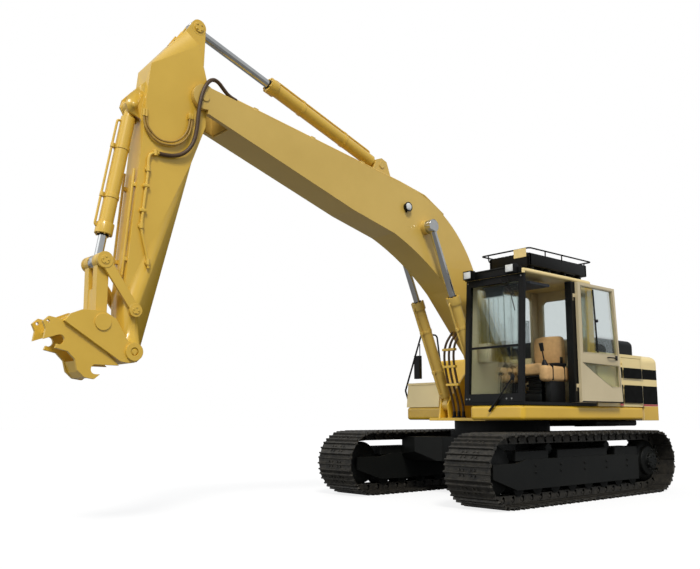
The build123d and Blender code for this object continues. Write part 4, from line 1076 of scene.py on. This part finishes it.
# %% [markdown]
# ## Inside the cab
# Through the open doorway show the driver's controls: a tan seat with a black belt on a black base, a
# joystick in a rubber boot on each side, two pedals with levers, two round air vents in the right pillar
# and a grey blind under the roof.

# %% Seat
tan_vinyl = plain("tan_vinyl", (206, 166, 112), (192, 152, 100), 0.6, scale=22, relief=0.25)
DRAW_IN = 0.10          # how far the corners draw in


def cushion(name, low, high, crown):
    """A cushion: a box whose faces swell by a crown and whose corners draw in."""
    low, high = Vector(low), Vector(high)
    bm = bmesh.new()
    bmesh.ops.create_cube(bm, size=1)
    bmesh.ops.subdivide_edges(bm, edges=bm.edges[:], cuts=5, use_grid_fill=True)
    size = high - low
    for vert in bm.verts:
        place = vert.co * 2
        a, b, c = (value * value for value in place)
        swell = ((1 - b) * (1 - c), (1 - a) * (1 - c), (1 - a) * (1 - b))
        pull = place * (1 - DRAW_IN * (a * b + b * c + c * a) / 3)
        for i in range(3):
            on_face = abs(place[i]) > 0.99
            rise = math.copysign(crown[i] * swell[i], place[i]) if on_face else 0
            vert.co[i] = pull[i] / 2 * size[i] + rise
        vert.co += (low + high) / 2
    made = piece(name, bm, tan_vinyl, "seat_cloth", smooth=60)
    rounds = made.modifiers.new("rounds", "SUBSURF")
    rounds.levels = 2
    rounds.render_levels = 2


cushion("seat_cushion", (0.075, 0.650, 1.640), (0.540, 1.110, 1.790), (0.006, 0.004, 0.022))
cushion("seat_back", (-0.040, 0.650, 1.790), (0.075, 1.110, 2.200), (0.024, 0.004, 0.004))
bm = bmesh.new()
add_box(bm, (-0.010, 0.720, 1.275), (0.460, 1.040, 1.400), 0.02)
for level in range(5):
    inset = 0.018 * (level % 2)
    add_box(
        bm, (0.040 + inset, 0.750 + inset, 1.400 + 0.042 * level),
        (0.410 - inset, 1.010 - inset, 1.442 + 0.042 * level), 0.012,
    )
add_box(bm, (0.000, 0.680, 1.610), (0.500, 1.080, 1.646), 0.01)
add_box(bm, (-0.055, 0.690, 1.700), (-0.035, 1.070, 2.150), 0.008)
add_box(bm, (0.060, 1.112, 1.600), (0.120, 1.124, 1.900), 0.004)
add_box(bm, (0.150, 0.640, 1.795), (0.200, 1.122, 1.815), 0.004)
piece("seat_base", bm, black_plastic, "cab_trim", smooth=35, replaces="seat")

# %% Consoles
bm = bmesh.new()
bm_base = bmesh.new()
for y in (0.555, 1.205):
    add_box(bm, (0.130, y - 0.070, 1.545), (0.680, y + 0.070, 1.760), 0.055, 4)
    add_box(bm_base, (0.220, y - 0.045, 1.272), (0.560, y + 0.045, 1.560), 0.010)
    for x in (0.250, 0.520):
        add_box(bm_base, (x, y - 0.074, 1.560), (x + 0.022, y + 0.074, 1.765), 0.004)
piece("console_pods", bm, tan_vinyl, "cab_trim", smooth=40, replaces="consoles")
piece("console_bases", bm_base, black_plastic, "cab_trim", smooth=35)

# %% Levers, vents, blind and screen
bm = bmesh.new()
for y in (0.560, 1.200):
    add_bar(bm, (0.600, y, 1.755), (0.615, y, 1.830), 0.050, 18, 0.018)
    add_bar(bm, (0.615, y, 1.825), (0.650, y, 1.950), 0.010, 10)
    add_bar(bm, (0.648, y, 1.945), (0.676, y, 2.050), 0.024, 14, 0.030)
    add_box(bm, (0.180, y - 0.060, 1.758), (0.420, y + 0.060, 1.800), 0.014)
for y in (0.800, 0.960):
    add_bar(bm, (1.060, y, 1.290), (1.020, y, 1.640), 0.011, 10)
    add_box(bm, (1.000, y - 0.055, 1.275), (1.180, y + 0.055, 1.300), 0.006)
    add_bar(bm, (1.020, y - 0.03, 1.645), (1.020, y + 0.03, 1.645), 0.020, 12)
for x, z in ((-0.210, 2.745), (-0.250, 2.565)):
    add_bar(bm, (x, 0.4755, z), (x, 0.492, z), 0.048, 24)
    add_bar(bm, (x, 0.490, z), (x, 0.498, z), 0.036, 24, 0.028)
piece("levers", bm, black_plastic, "cab_trim", smooth=35)

bm = bmesh.new()
add_box(bm, (0.550, 0.500, 2.800), (1.000, 1.290, 2.840), 0.012)
add_box(bm, (0.980, 0.520, 2.690), (1.000, 0.860, 2.810), 0.006)
piece("sun_blind", bm, grey_cloth, "cab_trim", smooth=35)

bm = bmesh.new()
add_box(bm, (1.010, 0.500, 1.800), (1.110, 0.660, 2.060), 0.016)
add_box(bm, (-0.303, 0.560, 1.960), (-0.285, 1.240, 2.170), 0.008)
add_box(bm, (-0.303, 0.4755, 1.300), (-0.150, 0.500, 2.880), 0.008)
piece("cab_lining", bm, beige_plastic, "cab_trim", smooth=35)

# %% [markdown]
# ## Roof rack, lamps and plate
# On the roof stands a slatted rack with a rail round it, and a blank pale plate hangs on its front. Work
# lamps on brackets light the ground: each has a black shell and a white lens in a black rim.

# %% Lamp lenses
lens_white = plain("lens_white", (226, 228, 226), (205, 208, 206), 0.18, scale=40, relief=0.3, coat=0.8)
lamp_low, lamp_high = (Vector(corner) - at(0, 0, 0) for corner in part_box("work_lamps"))
front, middle = lamp_high.x, (lamp_low.z + lamp_high.z) / 2
bm = bmesh.new()
bm_rims = bmesh.new()
for y in (0.560, 1.250):
    low = (front - 0.002, y - 0.058, lamp_low.z + 0.014)
    add_box(bm, low, (front + 0.006, y + 0.058, lamp_high.z - 0.014), 0.004)
    rim = [(front, y + j * 0.068, middle + k * 0.057) for j, k in ((-1, -1), (1, -1), (1, 1), (-1, 1))]
    add_seal(bm_rims, rim, 0.011, (0.009, 0, 0))
piece("lamp_lenses", bm, lens_white, "rod_chrome", smooth=35)
piece("lamp_rims", bm_rims, black_plastic, "chassis_black")

# %% Boom lamp
LAMP_X, LAMP_Z = 2.175, 3.830

bm = bmesh.new()
for z, near, far, radius, sides, tip in (
    (LAMP_Z, 0.182, 0.252, 0.046, 28, 0.060), (LAMP_Z, 0.250, 0.262, 0.064, 28, 0.064),
    (LAMP_Z - 0.055, 0.182, 0.210, 0.018, 12, 0.018),
):
    add_bar(bm, (LAMP_X, near, z), (LAMP_X, far, z), radius, sides, tip)
ring_of_bolts(bm, (LAMP_X, 0.262, LAMP_Z), (0, 1, 0), 0.056, 4, 0.005, 0.785)
piece("boom_lamp_shell", bm, black_enamel, "chassis_black", "boom", smooth=35, replaces="boom_lamp")
bm = bmesh.new()
add_bar(bm, (LAMP_X, 0.262, LAMP_Z), (LAMP_X, 0.270, LAMP_Z), 0.050, 28, 0.042)
piece("boom_lamp_lens", bm, lens_white, "rod_chrome", "boom", smooth=50)

# %% Roof rack
RACK_SPAN = ((-0.450, 0.915), (0.576, 1.238))
RACK_FLOOR = 3.070
RACK_TOP = 3.235
RACK_WALL = 0.045
ROOF_OFF = 2.9805       # just off the roof
SLATS = 9
SLAT_WIDTH = 0.05
RAIL_HEIGHT = 3.302
RAIL_SPAN = ((-0.585, 0.905), (0.430, 1.235))
RAIL_TURN = 0.10

bm = bmesh.new()
(rear, front), (right, left) = RACK_SPAN
for y in (right, left - RACK_WALL):
    add_box(bm, (rear, y, RACK_FLOOR), (front, y + RACK_WALL, RACK_TOP), 0.006)
for x in (rear, front - RACK_WALL):
    add_box(bm, (x, right, RACK_FLOOR), (x + RACK_WALL, left, RACK_TOP), 0.006)
step = (left - right - 0.1 - SLAT_WIDTH) / (SLATS - 1)
for i in range(SLATS):
    y = right + 0.05 + i * step
    add_box(
        bm, (rear + 0.02, y, RACK_TOP - 0.035), (front - 0.02, y + SLAT_WIDTH, RACK_TOP + 0.012), 0.004,
    )
for i in range(4):
    x = rear + 0.10 + i * (front - rear - 0.24) / 3
    add_box(bm, (x, right + 0.01, RACK_FLOOR + 0.02), (x + 0.05, left - 0.01, RACK_TOP - 0.04), 0.004)
    for y in (right + 0.03, left - 0.09):
        add_box(bm, (x, y, ROOF_OFF), (x + 0.05, y + 0.06, RACK_FLOOR + 0.03), 0.004)

# %% Rail round the rack
(rear, front), (right, left) = RAIL_SPAN
middle = (rear + front) / 2
turn = RAIL_TURN
rail = [
    (middle, right), (front - turn, right), (front, right), (front, right + turn),
    (front, left - turn), (front, left), (front - turn, left),
    (rear + turn, left), (rear, left), (rear, left - turn),
    (rear, right + turn), (rear, right), (rear + turn, right), (middle, right),
]
add_bent(bm, [(x, y, RAIL_HEIGHT) for x, y in rail], 0.011)
feet = (
    (rear + 0.02, left - 0.1), (0.16, left), (0.55, left), (front, left - 0.2),
    (front, right + 0.12), (0.30, right), (-0.30, right), (rear, right + 0.15),
)
for x, y in feet:
    foot_x = min(max(x, RACK_SPAN[0][0] + 0.03), RACK_SPAN[0][1] - 0.01)
    foot_y = min(max(y, RACK_SPAN[1][0] + 0.02), RACK_SPAN[1][1] - 0.01)
    post = ((x, y, RAIL_HEIGHT), (x, y, 3.21), (foot_x, foot_y, 3.19), (foot_x, foot_y, 3.15))
    add_bent(bm, post, 0.009)
piece("roof_rack", bm, black_enamel, "chassis_black", smooth=35, replaces="roof_guard")

bm = bmesh.new()
add_box(bm, (0.918, 0.99, 3.185), (0.922, 1.19, 3.305), 0.001)
piece("blank_plate", bm, cream, "machine_cream")

# %% [markdown]
# ## Cylinders
# Each hydraulic cylinder has a bolted gland where its rod comes out, and a steel tube that carries oil to
# that end along the barrel, held by two straps.

# %% Glands and tubes
ROD_RADIUS = {"boom": 0.045, "stick": 0.048, "bucket": 0.042}
PLAIN_STRETCH = (0.12, 0.16)    # metres from the base pin, where the barrel is bare
HEAD_STRETCH = 0.05
TUBE_OFF = 0.034                # the oil tube's centre, out from the barrel


def find_cylinders():
    """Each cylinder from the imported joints: its base pin, its way, its length and two radii."""
    for name, rod in (
        ("boom_barrel_left", "boom_rod_left"), ("boom_barrel_right", "boom_rod_right"),
        ("stick_barrel", "stick_rod"), ("bucket_barrel", "bucket_rod"),
    ):
        base = Vector(joints[name + "_tilt"]["pos_m"])
        way = Vector(joints[rod + "_stroke"]["axis"]).normalized()
        rod_low, rod_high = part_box(rod)
        if ((Vector(rod_low) + Vector(rod_high)) / 2 - base).dot(way) < 0:
            way = -way
        points = [vert.co - base for vert in nodes[name].data.vertices]
        reaches = [(point.dot(way), point) for point in points]
        radii = [(reach, (point - way * reach).length) for reach, point in reaches]
        length = max(reach for reach, _ in radii)
        barrel = max(radius for reach, radius in radii if PLAIN_STRETCH[0] < reach < PLAIN_STRETCH[1])
        head = max(radius for reach, radius in radii if reach > length - HEAD_STRETCH)
        yield name, base - at(0, 0, 0), way, length, barrel, head


for name, base, way, length, barrel, head in find_cylinders():
    print(name, "length", round(length, 3), "barrel", round(barrel, 3), "head", round(head, 3))
    side = Vector((0, 1, 0)).cross(way).normalized()
    if side.z < 0:
        side = -side
    if name.startswith("boom"):     # these carry their tube underneath
        side = -side

    def place(along, out):
        """A place on the side that carries the tube."""
        return base + way * along + side * (barrel + out)

    bm = bmesh.new()
    ring_of_bolts(bm, base + way * length, way, head - 0.014, 8, 0.011, 0.2)
    piece(name + "_bolts", bm, arm_yellow, "machine_yellow", name)
    bm = bmesh.new()
    rod = ROD_RADIUS[name.split("_")[0]]
    add_ring(bm, base + way * (length - 0.004), base + way * (length + 0.012), rod + 0.001, rod + 0.012)
    piece(name + "_wiper_seal", bm, rubber, "chassis_black", name, smooth=35)
    bm = bmesh.new()
    run = (
        place(0.190, -0.005), place(0.190, 0.030), place(0.230, TUBE_OFF), place(length / 2, TUBE_OFF),
        place(length - 0.120, TUBE_OFF), place(length - 0.070, TUBE_OFF), place(length - 0.060, 0.002),
    )
    add_bent(bm, run, 0.013)
    for share in (0.34, 0.72):
        centre = base + way * (length * share)
        add_ring(bm, centre - way * 0.018, centre + way * 0.018, barrel - 0.003, barrel + 0.006)
        clamp = centre + side * (barrel + 0.026)
        add_bar(bm, clamp - way * 0.022, clamp + way * 0.022, 0.024, 10)
    piece(name + "_tube", bm, nodes[name].data.materials[0], "machine_yellow", name, smooth=40)

# %% [markdown]
# ## View
# The scene's colours are shown through the standard view transform.

# %% Standard view
bpy.context.scene.view_settings.view_transform = "Standard"
